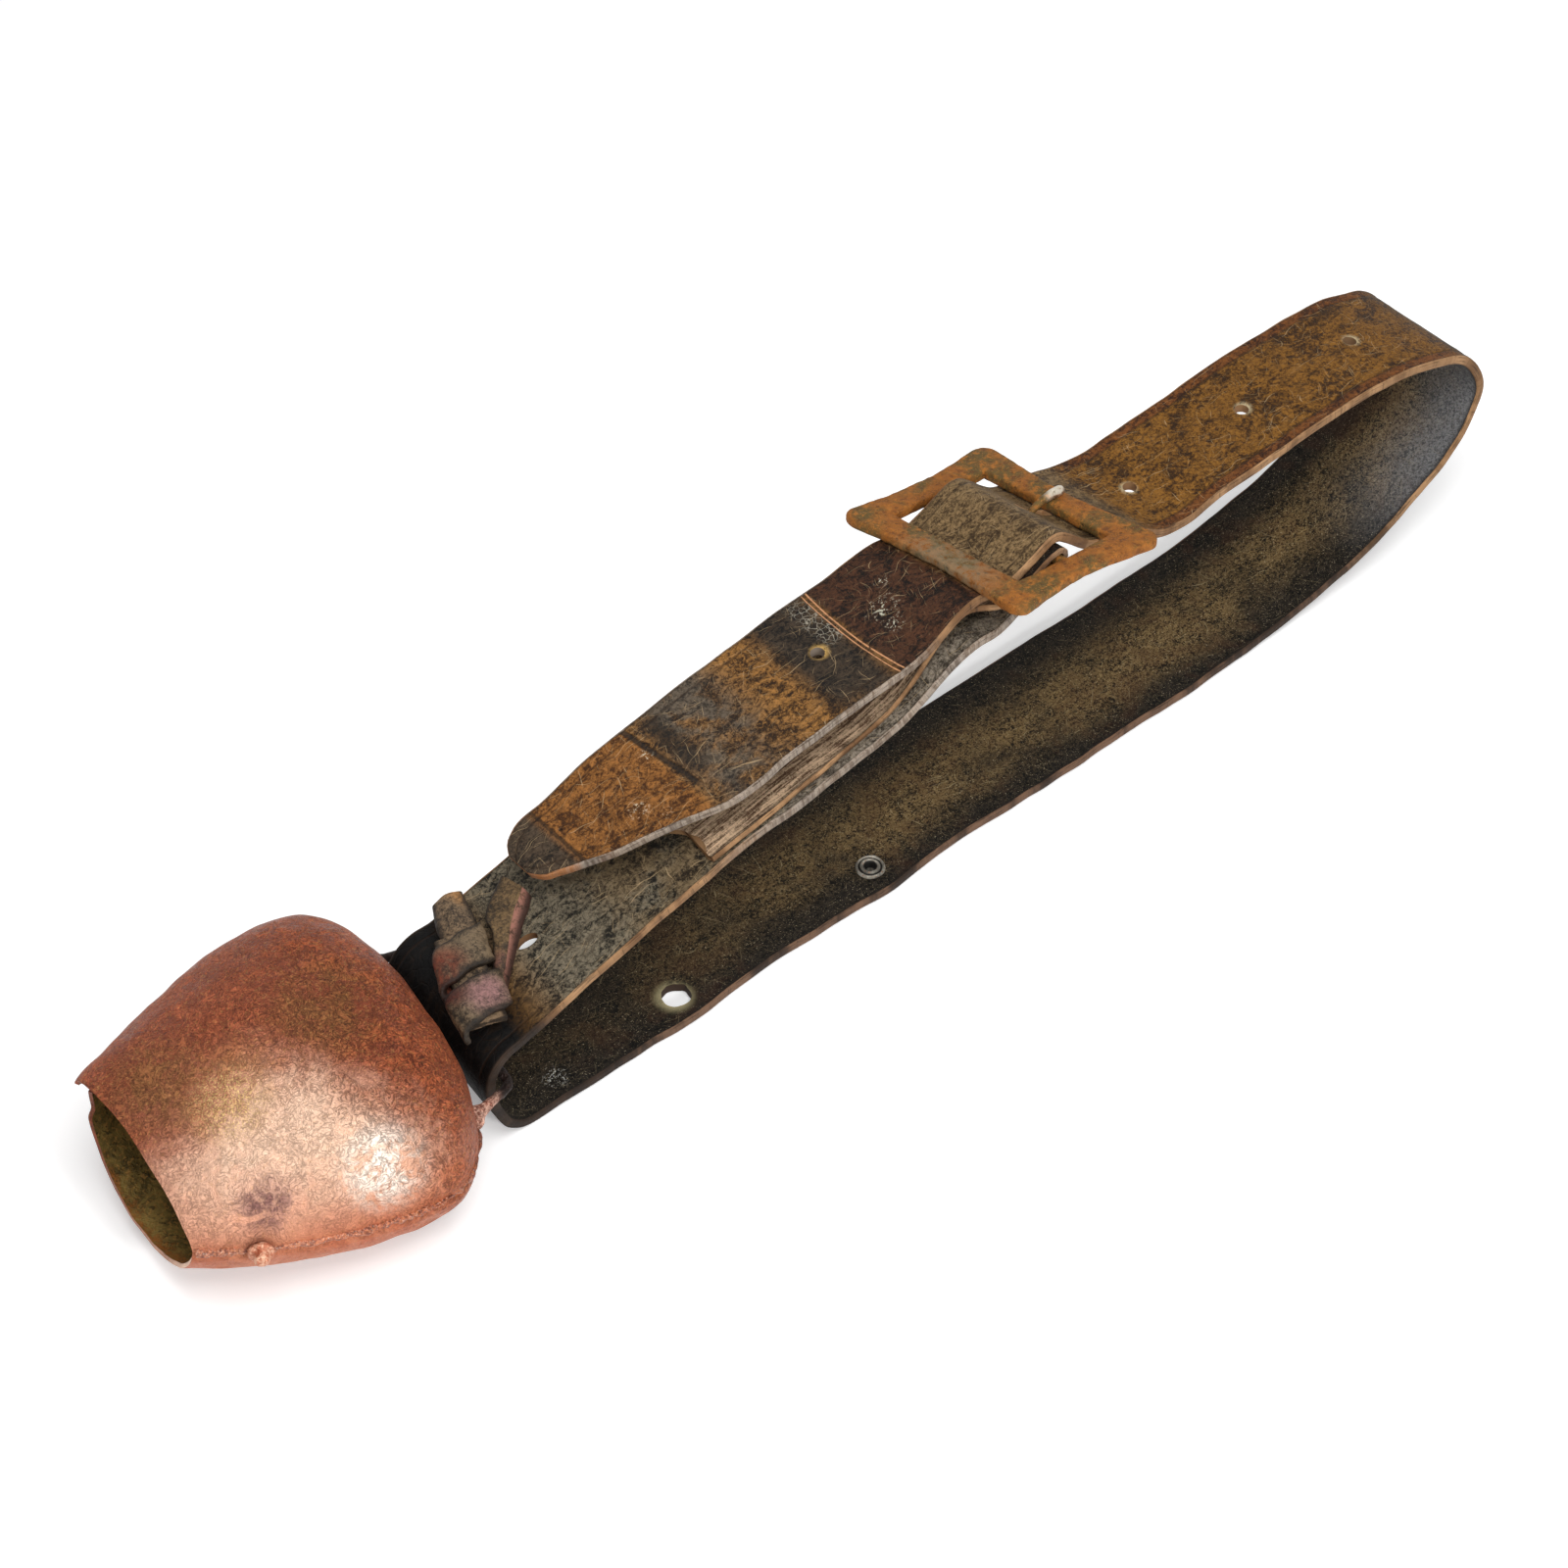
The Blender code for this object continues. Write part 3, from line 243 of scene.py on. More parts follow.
def settle(piece, angle=45, merge=0.0):
    # faces outward, smooth apart from real corners
    faceOut(piece.data, merge)
    return smooth(piece, angle)


def loft(rings, closedRun=False):
    # points and faces of a skin over rings of equal count, its ends closed
    count = len(rings[0])
    points = [Vector(point) for ring in rings for point in ring]
    faces = []
    for row in range(len(rings) - (not closedRun)):
        low, high = row * count, (row + 1) % len(rings) * count
        faces += [(low + side, low + (side + 1) % count, high + (side + 1) % count, high + side)
                  for side in range(count)]
    if not closedRun:
        for first in (0, (len(rings) - 1) * count):
            points.append(sum((points[first + side] for side in range(count)), Vector()) / count)
            faces += [(first + side, first + (side + 1) % count, len(points) - 1) for side in range(count)]
    return points, faces


def skinOver(name, rings, finish, angle=60, merge=0.0, closedRun=False):
    points, faces = loft(rings, closedRun)
    return settle(place(name, points, faces, finish), angle, merge)


def tubeRings(line, radii, sides=20, wobble=0.0):
    # rings along a line, roughened by wobble
    rings = []
    normal = None
    for index, point in enumerate(line):
        heading = (line[min(index + 1, len(line) - 1)] - line[max(index - 1, 0)]).normalized()
        if normal is None:
            normal = heading.orthogonal().normalized()
        normal = (normal - heading * normal.dot(heading)).normalized()
        across = heading.cross(normal)
        ring = []
        for side in range(sides):
            turn = 2 * math.pi * side / sides
            out = normal * math.cos(turn) + across * math.sin(turn)
            spot = point + out * radii[index]
            ring.append(spot + out * wobble * ripple(380, *spot))
        rings.append(ring)
    return rings


def keep(piece, body, slot, *nodes):
    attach(piece, body)
    if nodes:
        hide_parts(*nodes)
    return piece


def turnBy(angle, axis):
    return Matrix.Rotation(math.radians(angle), 4, axis)


def posed(centre, piece):
    # where a piece is, from the yaw, pitch and roll in its settings
    pose = Matrix.Translation(centre)
    for key, axis in (("yaw", "Z"), ("pitch", "Y"), ("roll", "X")):
        pose = pose @ turnBy(piece[key], axis)
    return pose


def along(axis, centre):
    turn = Vector((0, 0, 1)).rotation_difference(axis).to_matrix().to_4x4()
    return Matrix.Translation(centre) @ turn


def arc(radius, start, end, steps):
    turns = [math.radians(mix(start, end, share)) for share in shares(steps)]
    return [(radius * math.cos(turn), radius * math.sin(turn)) for turn in turns]


def curveThrough(points, step):
    # a smooth line through a few points, in even steps
    made = []
    for index in range(len(points) - 1):
        a, b = points[index], points[index + 1]
        before = points[max(index - 1, 0)]
        after = points[min(index + 2, len(points) - 1)]
        count = max(2, round((b - a).length / step))
        for stop in range(count):
            t = stop / count
            made.append(0.5 * (2 * a + (b - before) * t + (2 * before - 5 * a + 4 * b - after) * t * t
                               + (3 * a - before - 3 * b + after) * t ** 3))
    return made + [points[-1]]


def newTree(name, inputs):
    tree = bpy.data.node_groups.new(name, "GeometryNodeTree")
    tree.interface.new_socket("Geometry", in_out="INPUT", socket_type="NodeSocketGeometry")
    for label, kind in inputs:
        tree.interface.new_socket(label, in_out="INPUT", socket_type="NodeSocket" + kind)
    tree.interface.new_socket("Geometry", in_out="OUTPUT", socket_type="NodeSocketGeometry")
    start = Wire(tree).put("NodeGroupInput")
    return tree, start


def endTree(shape, finish):
    whole = shape.put("GeometryNodeRealizeInstances", None, {0: shape})
    done = whole.put("GeometryNodeSetMaterial", None, {"Geometry": whole, "Material": finish})
    done.tree.links.new(done.socket, done.tree.nodes.new("NodeGroupOutput").inputs[0])


def runTree(piece, tree, values):
    # sets the tree's inputs by identifier and leaves a plain mesh
    work = piece.modifiers.new(tree.name, "NODES")
    work.node_group = tree
    for item in tree.interface.items_tree:
        if item.in_out == "INPUT" and item.name in values:
            work[item.identifier] = values[item.name]
    return plainMesh(piece)


def plainMesh(piece):
    bpy.context.view_layer.update()
    graph = bpy.context.evaluated_depsgraph_get()
    done = bpy.data.meshes.new_from_object(
        piece.evaluated_get(graph), preserve_all_data_layers=True, depsgraph=graph)
    piece.modifiers.clear()
    piece.data = done
    return piece


def hammerTree():
    # dents of a hammer over a sheet, shallow lumps under them
    tree, start = newTree("hammerMarks", (
        ("dentSize", "Float"), ("dentDepth", "Float"), ("lumpSize", "Float"), ("lumpDepth", "Float"),
        ("finish", "Material")))
    spot = start.put("GeometryNodeInputNamedAttribute", {"data_type": "FLOAT_VECTOR"}, {"Name": "skin"})
    facing = start.put("GeometryNodeInputNormal")
    dents = spot.put("ShaderNodeTexVoronoi", {"feature": "SMOOTH_F1"}, {
        "Vector": spot, "Scale": 1 / start.other("dentSize"), "Smoothness": 0.35, "Randomness": 0.9})
    lumps = spot.put("ShaderNodeTexNoise", None, {
        "Vector": spot, "Scale": 1 / start.other("lumpSize"), "Detail": 2.0})
    depth = (dents - 0.5) * start.other("dentDepth") + (lumps - 0.5) * start.other("lumpDepth")
    shift = facing.put("ShaderNodeVectorMath", {"operation": "SCALE"}, {0: facing, "Scale": depth})
    moved = spot.put("GeometryNodeSetPosition", None, {"Geometry": start, "Offset": shift})
    endTree(moved, start.other("finish"))
    return tree


def rivetTree():
    # one fastener on each seat, turned to the seat's facing, with a fixed random spin
    tree, start = newTree("fasteners", (
        ("fastener", "Object"), ("size", "Float"), ("seed", "Int"), ("finish", "Material")))
    facing = start.put("GeometryNodeInputNamedAttribute", {"data_type": "FLOAT_VECTOR"}, {"Name": "facing"})
    aim = facing.put("FunctionNodeAlignRotationToVector", {"axis": "Z"}, {"Vector": facing})
    spin = facing.put("FunctionNodeRandomValue", {"data_type": "FLOAT_VECTOR"}, {
        0: (0.0, 0.0, 0.0), 1: (0.0, 0.0, 6.28), "Seed": start.other("seed")})
    turned = aim.put("FunctionNodeRotateRotation", {"rotation_space": "LOCAL"}, {0: aim, 1: spin})
    shape = start.put("GeometryNodeObjectInfo", None, {"Object": start.other("fastener")}, "Geometry")
    rows = shape.put("GeometryNodeInstanceOnPoints", None, {
        "Points": start, "Instance": shape, "Rotation": turned})
    sized = rows.put("GeometryNodeScaleInstances", None, {"Instances": rows, "Scale": start.other("size")})
    endTree(sized, start.other("finish"))
    return tree


hammerMarks = hammerTree()
fasteners = rivetTree()


def turnedShape(name, profile, sides=32, rough=0.0):
    # a closed shape turned about Z; a ring if the profile stays off the axis
    rings = []
    for side in range(sides):
        turn = 2 * math.pi * side / sides
        rings.append([Vector((r * math.cos(turn), r * math.sin(turn), z)) for r, z in profile])
    points, faces = loft(rings, closedRun=True)
    if rough:
        points = [p + Vector([rough * ripple(420, *(p + Vector((shift, 0, 0)))) for shift in (0, 7, 13)])
                  for p in points]
    made = settle(place(name, points, faces), 50, 0.00002)
    made.hide_render = True
    made.hide_viewport = True
    return made


def setFasteners(name, shape, seats, finish, seed, size=1.0):
    piece = place(name, [seat for seat, _ in seats], [])
    facing = piece.data.attributes.new("facing", "FLOAT_VECTOR", "POINT")
    facing.data.foreach_set("vector", [value for _, normal in seats for value in normal])
    runTree(piece, fasteners, {"fastener": shape, "size": size, "seed": seed, "finish": finish})
    return smooth(piece, 50)


bell = {
    "height": 0.1085, "shoulderHeight": 0.0765, "mouthHalfWidth": 0.035, "shoulderHalfWidth": 0.059,
    "mouthRise": 0.0125, "mouthDrop": 0.0326, "shoulderHalfDepth": 0.0341, "domePower": 2.4,
    "mouthPower": 2.0, "crownPower": 2.3, "swellPower": 0.9, "sheet": 0.0015, "gap": 0.0003,
    "seamLevel": -0.004, "seamLap": 0.0075, "seamBlend": 0.006, "yaw": -5.6, "pitch": 3.5, "roll": 4.0,
    "sectionRoll": 8.5, "bailRise": 0.012, "sideRings": 76, "domeRings": 46, "segments": 264, "crease": 42,
    "rimWave": 0.0005, "rimReach": 0.018, "earFrom": 0.004, "earWide": 0.03, "earReach": 0.003,
    "earLift": 0.0042, "earLiftReach": 0.034, "earTrim": 0.0085, "earTrimReach": 0.014, "earTrimFrom": 0.006,
    "dentSize": 0.011, "dentDepth": 0.0008, "lumpSize": 0.026, "lumpDepth": 0.0016, "weld": 0.0002,
}
bladeWidth = 0.00001

bellPlace = posed(joints["bell_swing"]["pos_m"], bell) @ turnBy(90, "Z") @ turnBy(90, "X")


def bellSection(height):
    if height <= bell["shoulderHeight"]:
        swell = math.sin(math.pi / 2 * max(height, 0.0) / bell["shoulderHeight"]) ** bell["swellPower"]
        wide = mix(bell["mouthHalfWidth"], bell["shoulderHalfWidth"], swell)
        over = mix(bell["mouthRise"], bell["shoulderHalfDepth"], swell)
        under = mix(bell["mouthDrop"], bell["shoulderHalfDepth"], swell)
    else:
        climb = (height - bell["shoulderHeight"]) / (bell["height"] - bell["shoulderHeight"])
        fall = max(0.0, 1 - climb ** bell["domePower"]) ** (1 / bell["domePower"])
        wide = bell["shoulderHalfWidth"] * fall
        over = under = bell["shoulderHalfDepth"] * fall
    power = mix(bell["mouthPower"], bell["crownPower"], min(1.0, height / bell["shoulderHeight"]))
    return wide, over, under, power


def bellPoint(height, turn):
    wide, over, under, power = bellSection(height)
    across, up = math.cos(turn), math.sin(turn)
    deep = over if up > 0 else under
    point = Vector((wide * math.copysign(abs(across) ** (2 / power), across),
                    deep * math.copysign(abs(up) ** (2 / power), up),
                    height - bell["height"] - bell["bailRise"]))
    return Matrix.Rotation(math.radians(bell["sectionRoll"]), 3, "Z") @ point


def halve(low, high, below):
    for _ in range(40):
        middle = (low + high) / 2
        low, high = (middle, high) if below(middle) else (low, middle)
    return low


def bellTurn(height, level, near):
    # the turn round the bell at which its skin crosses a level
    side = (lambda turn: math.pi - turn) if near else (lambda turn: turn)
    return side(halve(-1.4, 1.4, lambda turn: bellPoint(height, side(turn)).y < level))


def bellFacing(height, turn):
    rise = bellPoint(height + 0.0005, turn) - bellPoint(height - 0.0005, turn)
    sweep = bellPoint(height, turn + 0.01) - bellPoint(height, turn - 0.01)
    return sweep.cross(rise).normalized()


def cutLevel(body, level, keepSide=0):
    bmesh.ops.bisect_plane(
        body, geom=body.verts[:] + body.edges[:] + body.faces[:], dist=bladeWidth,
        plane_co=(0.0, level, 0.0), plane_no=(0.0, -keepSide or 1, 0.0), clear_outer=keepSide != 0)


def trimEar(body):
    # the upper sheet's far corner stops short of the lap, tapering back from the mouth
    parts = [part for part in body.verts[:] + body.edges[:] + body.faces[:]
             if all(v.co.x > bell["earTrimFrom"] for v in getattr(part, "verts", [part]))]
    mouth = -bell["height"] - bell["bailRise"] - bell["earReach"]
    slope = (bell["earTrim"] + bell["earLift"]) / bell["earTrimReach"]
    bmesh.ops.bisect_plane(
        body, geom=parts, dist=bladeWidth, plane_co=(0.0, bell["seamLevel"], mouth + bell["earTrimReach"]),
        plane_no=Vector((0.0, -1.0, -slope)).normalized(), clear_outer=True)


def bellShell(name, lower, finishes):
    dome = bell["height"] - bell["shoulderHeight"]
    heights = [bell["shoulderHeight"] * step / bell["sideRings"] for step in range(bell["sideRings"] + 1)]
    heights += [bell["shoulderHeight"] + dome * math.sin(math.pi / 2 * step / bell["domeRings"])
                for step in range(1, bell["domeRings"])]
    count = bell["segments"]
    body = bmesh.new()
    skin = body.verts.layers.float_vector.new("skin")
    grid = []
    for height in heights:
        row = []
        for step in range(count):
            point = bellPoint(height, 2 * math.pi * step / count)
            low = 1 - ease(height / bell["rimReach"])
            point.z += low * bell["rimWave"] * ripple(90, *point)
            if not lower:
                ear = ease((point.x - bell["earFrom"]) / bell["earWide"])
                point.z -= low * bell["earReach"] * ear
                point.y += (1 - ease(height / bell["earLiftReach"])) * bell["earLift"] * ear
            row.append(body.verts.new(point))
            row[-1][skin] = point
        grid.append(row)
    for low, high in zip(grid, grid[1:]):
        for step in range(count):
            after = (step + 1) % count
            body.faces.new((low[step], low[after], high[after], high[step]))
    top = body.verts.new((0.0, 0.0, -bell["bailRise"]))
    top[skin] = top.co
    for step in range(count):
        body.faces.new((grid[-1][step], grid[-1][(step + 1) % count], top))
    if lower:
        cutLevel(body, bell["seamLevel"])
        cutLevel(body, bell["seamLevel"] - bell["seamBlend"])
        body.normal_update()
        moves = []
        for point in body.verts:
            share = ease(1 + (point.co.y - bell["seamLevel"]) / bell["seamBlend"])
            moves.append((point, point.normal * (bell["sheet"] + bell["gap"]) * share))
        for point, inward in moves:
            point.co -= inward
        cutLevel(body, bell["seamLevel"] + bell["seamLap"], -1)
    else:
        cutLevel(body, bell["seamLevel"], 1)
        trimEar(body)
    bmesh.ops.remove_doubles(body, verts=body.verts, dist=bell["weld"])
    bmesh.ops.transform(body, matrix=bellPlace, verts=body.verts)
    mesh = bpy.data.meshes.new(name)
    body.to_mesh(mesh)
    body.free()
    mesh.shade_smooth()
    piece = link(name, mesh)
    runTree(piece, hammerMarks, bell | {"finish": finishes[0]})
    piece.data.materials.clear()
    for finish in finishes:
        piece.data.materials.append(finish)
    piece.data.polygons.foreach_set("material_index", [0] * len(piece.data.polygons))
    wall = piece.modifiers.new("wall", "SOLIDIFY")
    wall.thickness = bell["sheet"]
    wall.offset = -1
    wall.material_offset = 1
    wall.material_offset_rim = 2
    return smooth(plainMesh(piece), bell["crease"])


rivet = {"stub": 0.0027, "stubLength": 0.0034, "collar": 0.0043, "collarThick": 0.0019, "height": 0.019,
         "inset": 0.0002, "base": 0.0009}


def seamSeats():
    seats = []
    for near in (True, False):
        turn = bellTurn(rivet["height"], bell["seamLevel"] + rivet["inset"], near)
        facing = bellFacing(rivet["height"], turn)
        spot = bellPoint(rivet["height"], turn) + facing * rivet["base"]
        seats.append((bellPlace @ spot, bellPlace.to_3x3() @ facing))
    return seats


nearRivetSeat = tuple(seamSeats()[0][0])

# "light" paints the bell's near side as painted sheen; "brown" and "dark" also paint its far side as painted
# shade
copperTones = {
    "mid": (182, 100, 68), "warm": (197, 124, 90), "light": (225, 188, 162), "brown": (158, 73, 38),
    "dark": (92, 38, 22), "orange": (172, 84, 40), "speck": (70, 32, 20), "ochre": (188, 134, 78),
    "gold": (226, 190, 122), "olive": (120, 94, 50), "plum": (134, 92, 86), "pale": (242, 222, 202),
}


def copperFinish(name, side):
    finish, wire = newFinish(name, 0.3, 0.4)
    c = copperTones
    spot = wire.put("ShaderNodeTexCoord", out="Object")
    x, y, z = spot.axes()
    cloud = spot.grain(30, 4, 0.6, 0.6)
    soft = spot.grain(110, 5, 0.64, 1.0)
    wrinkle = spot.grain(250, 3, 0.55, 2.4)
    fine = spot.grain(750, 4, 0.68, 0.6)
    dust = spot.grain(1800, 3, 0.65)
    curls = (1 - abs(wrinkle - 0.5).rise(0.0, 0.045)) * soft.rise(0.36, 0.54)
    mottle = spot.grain(170, 5, 0.7, 1.4)
    if side == "inside":
        crust = 1 - (x + (soft - 0.5) * 0.012).rise(-0.2965, -0.2905)
        colour = soft.rise(0.35, 0.65).paint((92, 76, 38), (150, 124, 66)).coats(
            (fine.rise(0.5, 0.64) * 0.8, (182, 136, 74)),
            (wrinkle.rise(0.56, 0.66) * 0.7, (40, 32, 16)),
            (crust * fine.rise(0.34, 0.6), (166, 102, 46)))
        dress(wire, colour, fine.rise(0.3, 0.7) * 0.2 + 0.6, fine * 0.5 + wrinkle, 0.0008, 0.7)
        return finish
    crown = x.rise(-0.252, -0.204)
    # painted light: the near side pale as painted sheen where lit, the far and top side darker brown as
    # painted shade
    far = (y + crown * 0.062 + (cloud - 0.5) * 0.06 + (soft - 0.5) * 0.02).rise(-0.026, 0.034)
    lit = (1 - far) * z.rise(0.028, 0.062)
    browns = (soft * 0.5 + mottle * 0.3 + fine * 0.2).rise(0.43, 0.56).paint(c["dark"], c["mid"])
    colour = cloud.rise(0.35, 0.65).paint(c["mid"], c["warm"]).coats(
        (lit * (0.4 + 1.2 * soft), c["light"]),
        (far * 0.92, (0.25 + 0.4 * cloud).paint(browns, c["brown"])),
        (crown * soft.rise(0.4, 0.6) * 0.55, c["orange"]),
        (mottle.rise(0.52, 0.66) * (0.12 + 0.42 * far + 0.2 * crown), c["dark"]))
    for centre, reach, key, amount in (
            ((-0.222, 0.006, 0.07), 0.026, "olive", 0.55), ((-0.279, 0.021, 0.066), 0.024, "olive", 0.55),
            ((-0.264, 0.002, 0.066), 0.024, "ochre", 0.45), ((-0.274, -0.031, 0.048), 0.014, "plum", 0.95)):
        colour = (spot.near(centre, reach) * soft.rise(0.34, 0.62) * amount).paint(colour, c[key])
    grit = fine * 0.55 + dust * 0.45
    flecks = dust.rise(0.5, 0.58) * spot.near((-0.2663, -0.001, 0.066), 0.018)
    # painted highlight on the near lower side of the bell, with smoother metal there
    paintedHighlight = spot.near((-0.2372, -0.044, 0.049), 0.019) * (soft * 0.5 + mottle * 0.5).rise(0.4, 0.56)
    nail = spot.near((-0.2745, 0.0185, 0.0668), 0.0026)
    colour = colour.coats(
        (curls * (0.05 + 0.3 * far + 0.15 * crown), c["speck"]),
        (grit.rise(0.53, 0.61) * (0.25 + 0.45 * far), c["speck"]),
        (grit.rise(0.47, 0.4) * (0.25 + 0.25 * far), c["ochre"]),
        (flecks * 0.8, c["gold"]),
        (paintedHighlight * 0.8, (252, 240, 226)),
        # painted shade round the near seam rivet
        (spot.near(nearRivetSeat, 0.0072) * 0.8, c["dark"]),
        (nail, (60, 30, 26)))
    rough = 0.3 + 0.2 * soft.rise(0.35, 0.65) + 0.12 * fine - 0.12 * paintedHighlight
    height = (soft * 0.7 + mottle * (0.4 + 0.6 * far) + wrinkle * (0.3 + 0.9 * far + 0.6 * crown)
              - curls * (0.15 + 0.45 * far + 0.6 * crown) + fine * (0.22 + 0.3 * far)
              + dust * 0.08 - nail * 0.8)
    if side == "rim":
        # the rim pale as worn metal, and on the near side only as painted highlight
        colour = ((1 - far) * (0.75 + 0.25 * soft.rise(0.4, 0.6))).paint(colour, (246, 214, 188))
    if side == "rivet":
        colour = (fine.rise(0.42, 0.56) * 0.8).paint((226, 176, 146), c["mid"])
        colour = (mottle.rise(0.5, 0.6) * 0.7).paint(colour, c["brown"])
    if side == "bail":
        leg = fine.rise(0.42, 0.58).paint((150, 92, 74), (226, 178, 156))
        # the bail dark from x -0.1825 on, toward the strap's fold, as painted shade
        colour = x.rise(-0.1885, -0.1825).paint(leg, (38, 24, 19))
    if side == "bead":
        colour = colour.coats(
            (fine.rise(0.46, 0.58) * 0.7, (104, 62, 56)),
            (dust.rise(0.54, 0.62) * 0.3, c["pale"]))
    dress(wire, colour, rough, height, 0.0017, 1.0)
    return finish


copper = copperFinish("hammeredCopperWash", "outside")
copperInside = copperFinish("bellInside", "inside")
copperRim = copperFinish("wornBellRim", "rim")
copperBead = copperFinish("brazedSeam", "bead")
copperRivet = copperFinish("bellRivet", "rivet")
copperBail = copperFinish("bailRod", "bail")

upperShell = bellShell("bellUpper", False, (copper, copperInside, copperRim))
keep(upperShell, "bell", "bell_copper", "bell_upper_shell")
lowerShell = bellShell("bellLower", True, (copper, copperInside, copperRim))
keep(lowerShell, "bell", "bell_copper", "bell_lower_shell")
print("bell shells:", len(upperShell.data.polygons) + len(lowerShell.data.polygons), "faces")

seam = {"width": 0.0018, "proud": -0.0003, "rough": 0.0009, "stops": 150, "heights": (0.001, 0.1045),
        "least": 0.0004}


def seamBead():
    # brazing that stands along the lap, up one side, over the crown and down the other
    heights = [mix(*seam["heights"], share) for share in shares(seam["stops"])]
    line = []
    for near in (True, False):
        side = []
        for height in heights if near else [height for height in heights if height > bell["earTrimReach"]]:
            turn = bellTurn(height, bell["seamLevel"], near)
            side.append(bellPlace @ (bellPoint(height, turn) + bellFacing(height, turn) * seam["proud"]))
        line += side if near else side[::-1]
    line = [line[0]] + [b for a, b in zip(line, line[1:]) if (b - a).length > seam["least"]]
    radii = [seam["width"] * (0.55 + 0.5 * abs(ripple(160, *point)) + 0.5 * abs(ripple(420, *point)))
             for point in line]
    return skinOver("seamBead", tubeRings(line, radii, 10, seam["rough"]), copperBead, 70)


keep(seamBead(), "bell", "bell_copper")

bail = {"rod": 0.004, "halfSpan": 0.0326, "spread": 0.005, "corner": 0.0045, "flare": 0.0026,
        "flareReach": 0.0026, "depth": 0.0112, "cornerSteps": 14,
        "legSteps": 34, "barSteps": 40, "margin": 0.002, "rough": 0.0004}


def crownHeight(across):
    return halve(bell["shoulderHeight"], bell["height"],
                 lambda height: bellPoint(height, bellTurn(height, 0.0, False)).x > across)


def bailRod():
    footHeight = crownHeight(bail["halfSpan"] + bail["spread"])
    foot = Vector((bail["halfSpan"] + bail["spread"], 0.0, footHeight - bell["height"] - bell["bailRise"]))
    shoulder = Vector((bail["halfSpan"], 0.0, 0.0))
    lean = (foot - shoulder).normalized()
    cutback = bail["corner"] / math.tan(math.acos(lean.dot(Vector((-1, 0, 0)))) / 2)
    centre = shoulder + Vector((-cutback, 0.0, -bail["corner"]))
    last = math.atan2(lean.x, -lean.z)
    half = [centre + bail["corner"] * Vector((math.cos(turn), 0.0, math.sin(turn)))
            for turn in (mix(math.pi / 2, last, share) for share in shares(bail["cornerSteps"]))]
    legStart, legEnd = half[-1], foot + lean * bail["depth"]
    half += [legStart.lerp(legEnd, share) for share in shares(bail["legSteps"])[1:]]
    bar = [Vector((x, 0.0, 0.0)) for x in np.linspace(-half[0].x, half[0].x, bail["barSteps"])[1:-1]]
    line = [Vector((-p.x, 0.0, p.z)) for p in reversed(half)] + bar + half
    radii = []
    for point in line:
        away = (Vector((abs(point.x), 0.0, point.z)) - foot).dot(lean)
        flare = 0.0
        if point.z < -bail["margin"]:
            flare = bail["flare"] * math.exp(-max(-away, 0.0) / bail["flareReach"])
        thin = 0.86 + 0.1 * ripple(120, *point)
        radii.append(bail["rod"] / 2 * thin + flare * (1.0 if away < bail["margin"] else 0.4))
    return skinOver("bailRod", tubeRings([bellPlace @ p for p in line], radii, 28, bail["rough"]), copperBail)


keep(bailRod(), "bell", "bell_copper", "bail")


def seamRivets():
    # a stub on a round collar, its foot through the lap
    stub, collar, low = rivet["stub"], rivet["collar"], rivet["collarThick"]
    tall = low + rivet["stubLength"]
    shape = turnedShape("seamRivetShape", (
        (0.0, tall), (stub * 0.5, tall - 0.0001), (stub * 0.86, tall - 0.0007), (stub, tall - 0.0016),
        (stub * 0.97, low + 0.0002), (stub * 1.12, low), (collar * 0.82, low), (collar, low * 0.6),
        (collar * 0.98, low * 0.2), (collar * 0.86, -0.0006), (stub * 0.6, -0.0006), (stub * 0.6, -0.0046),
        (stub * 1.05, -0.0047), (stub * 0.9, -0.0058), (0.0, -0.0058)), 36, 0.0003)
    nearSeat, farSeat = seamSeats()
    near = setFasteners("seamRivetNear", shape, [nearSeat], copperRivet, 4)
    return near, setFasteners("seamRivetFar", shape, [farSeat], copperRivet, 6, 0.7)


nearRivet, farRivet = seamRivets()
keep(nearRivet, "bell", "bell_copper", "seam_rivet_near", "seam_collar_near")
keep(farRivet, "bell", "bell_copper", "seam_rivet_far", "seam_collar_far")
for name in ("bail_washer_near", "bail_washer_far"):
    frame["nodes"][name].data.materials.clear()
    frame["nodes"][name].data.materials.append(copperInside)
print("bell furniture done")


def ironFinish(name, dark, light, centre=None):
    finish, wire = newFinish(name, metallic=0.55)
    spot = wire.put("ShaderNodeTexCoord", out="Object")
    scale = spot.grain(160, 6, 0.65)
    fine = spot.grain(1100, 3, 0.6)
    colour = scale.rise(0.35, 0.65).paint(dark, light)
    colour = (fine.rise(0.55, 0.68) * 0.7).paint(colour, (128, 78, 40))
    if centre:
        # painted shade: black in the eyelet's hole and a dark ring in the groove round it
        away = spot.away(centre)
        holeAndGrooveShade = away.rise(0.003, 0.0024) + away.band(0.0037, 0.0044, 0.0002)
        colour = holeAndGrooveShade.paint(colour, (17, 14, 11))
    dress(wire, colour, 0.5 + 0.25 * scale, scale + fine * 0.4, 0.0008, 0.7)
    return finish


clapperIron = ironFinish("clapperIron", (44, 38, 32), (92, 72, 52))
clapper = {"rod": 0.0036, "eye": 0.0039, "reach": 0.062, "ball": 0.0105, "tail": 0.0045, "lean": 19.55,
           "sheet": 0.0016, "stapleRod": 0.003, "stapleHalfSpan": 0.006, "stapleDrop": 0.013,
           "stapleProud": 0.0006, "ballRings": 40, "ballSides": 56, "eyeArc": (205, -82, 40), "neck": 0.002,
           "shankStops": 60}


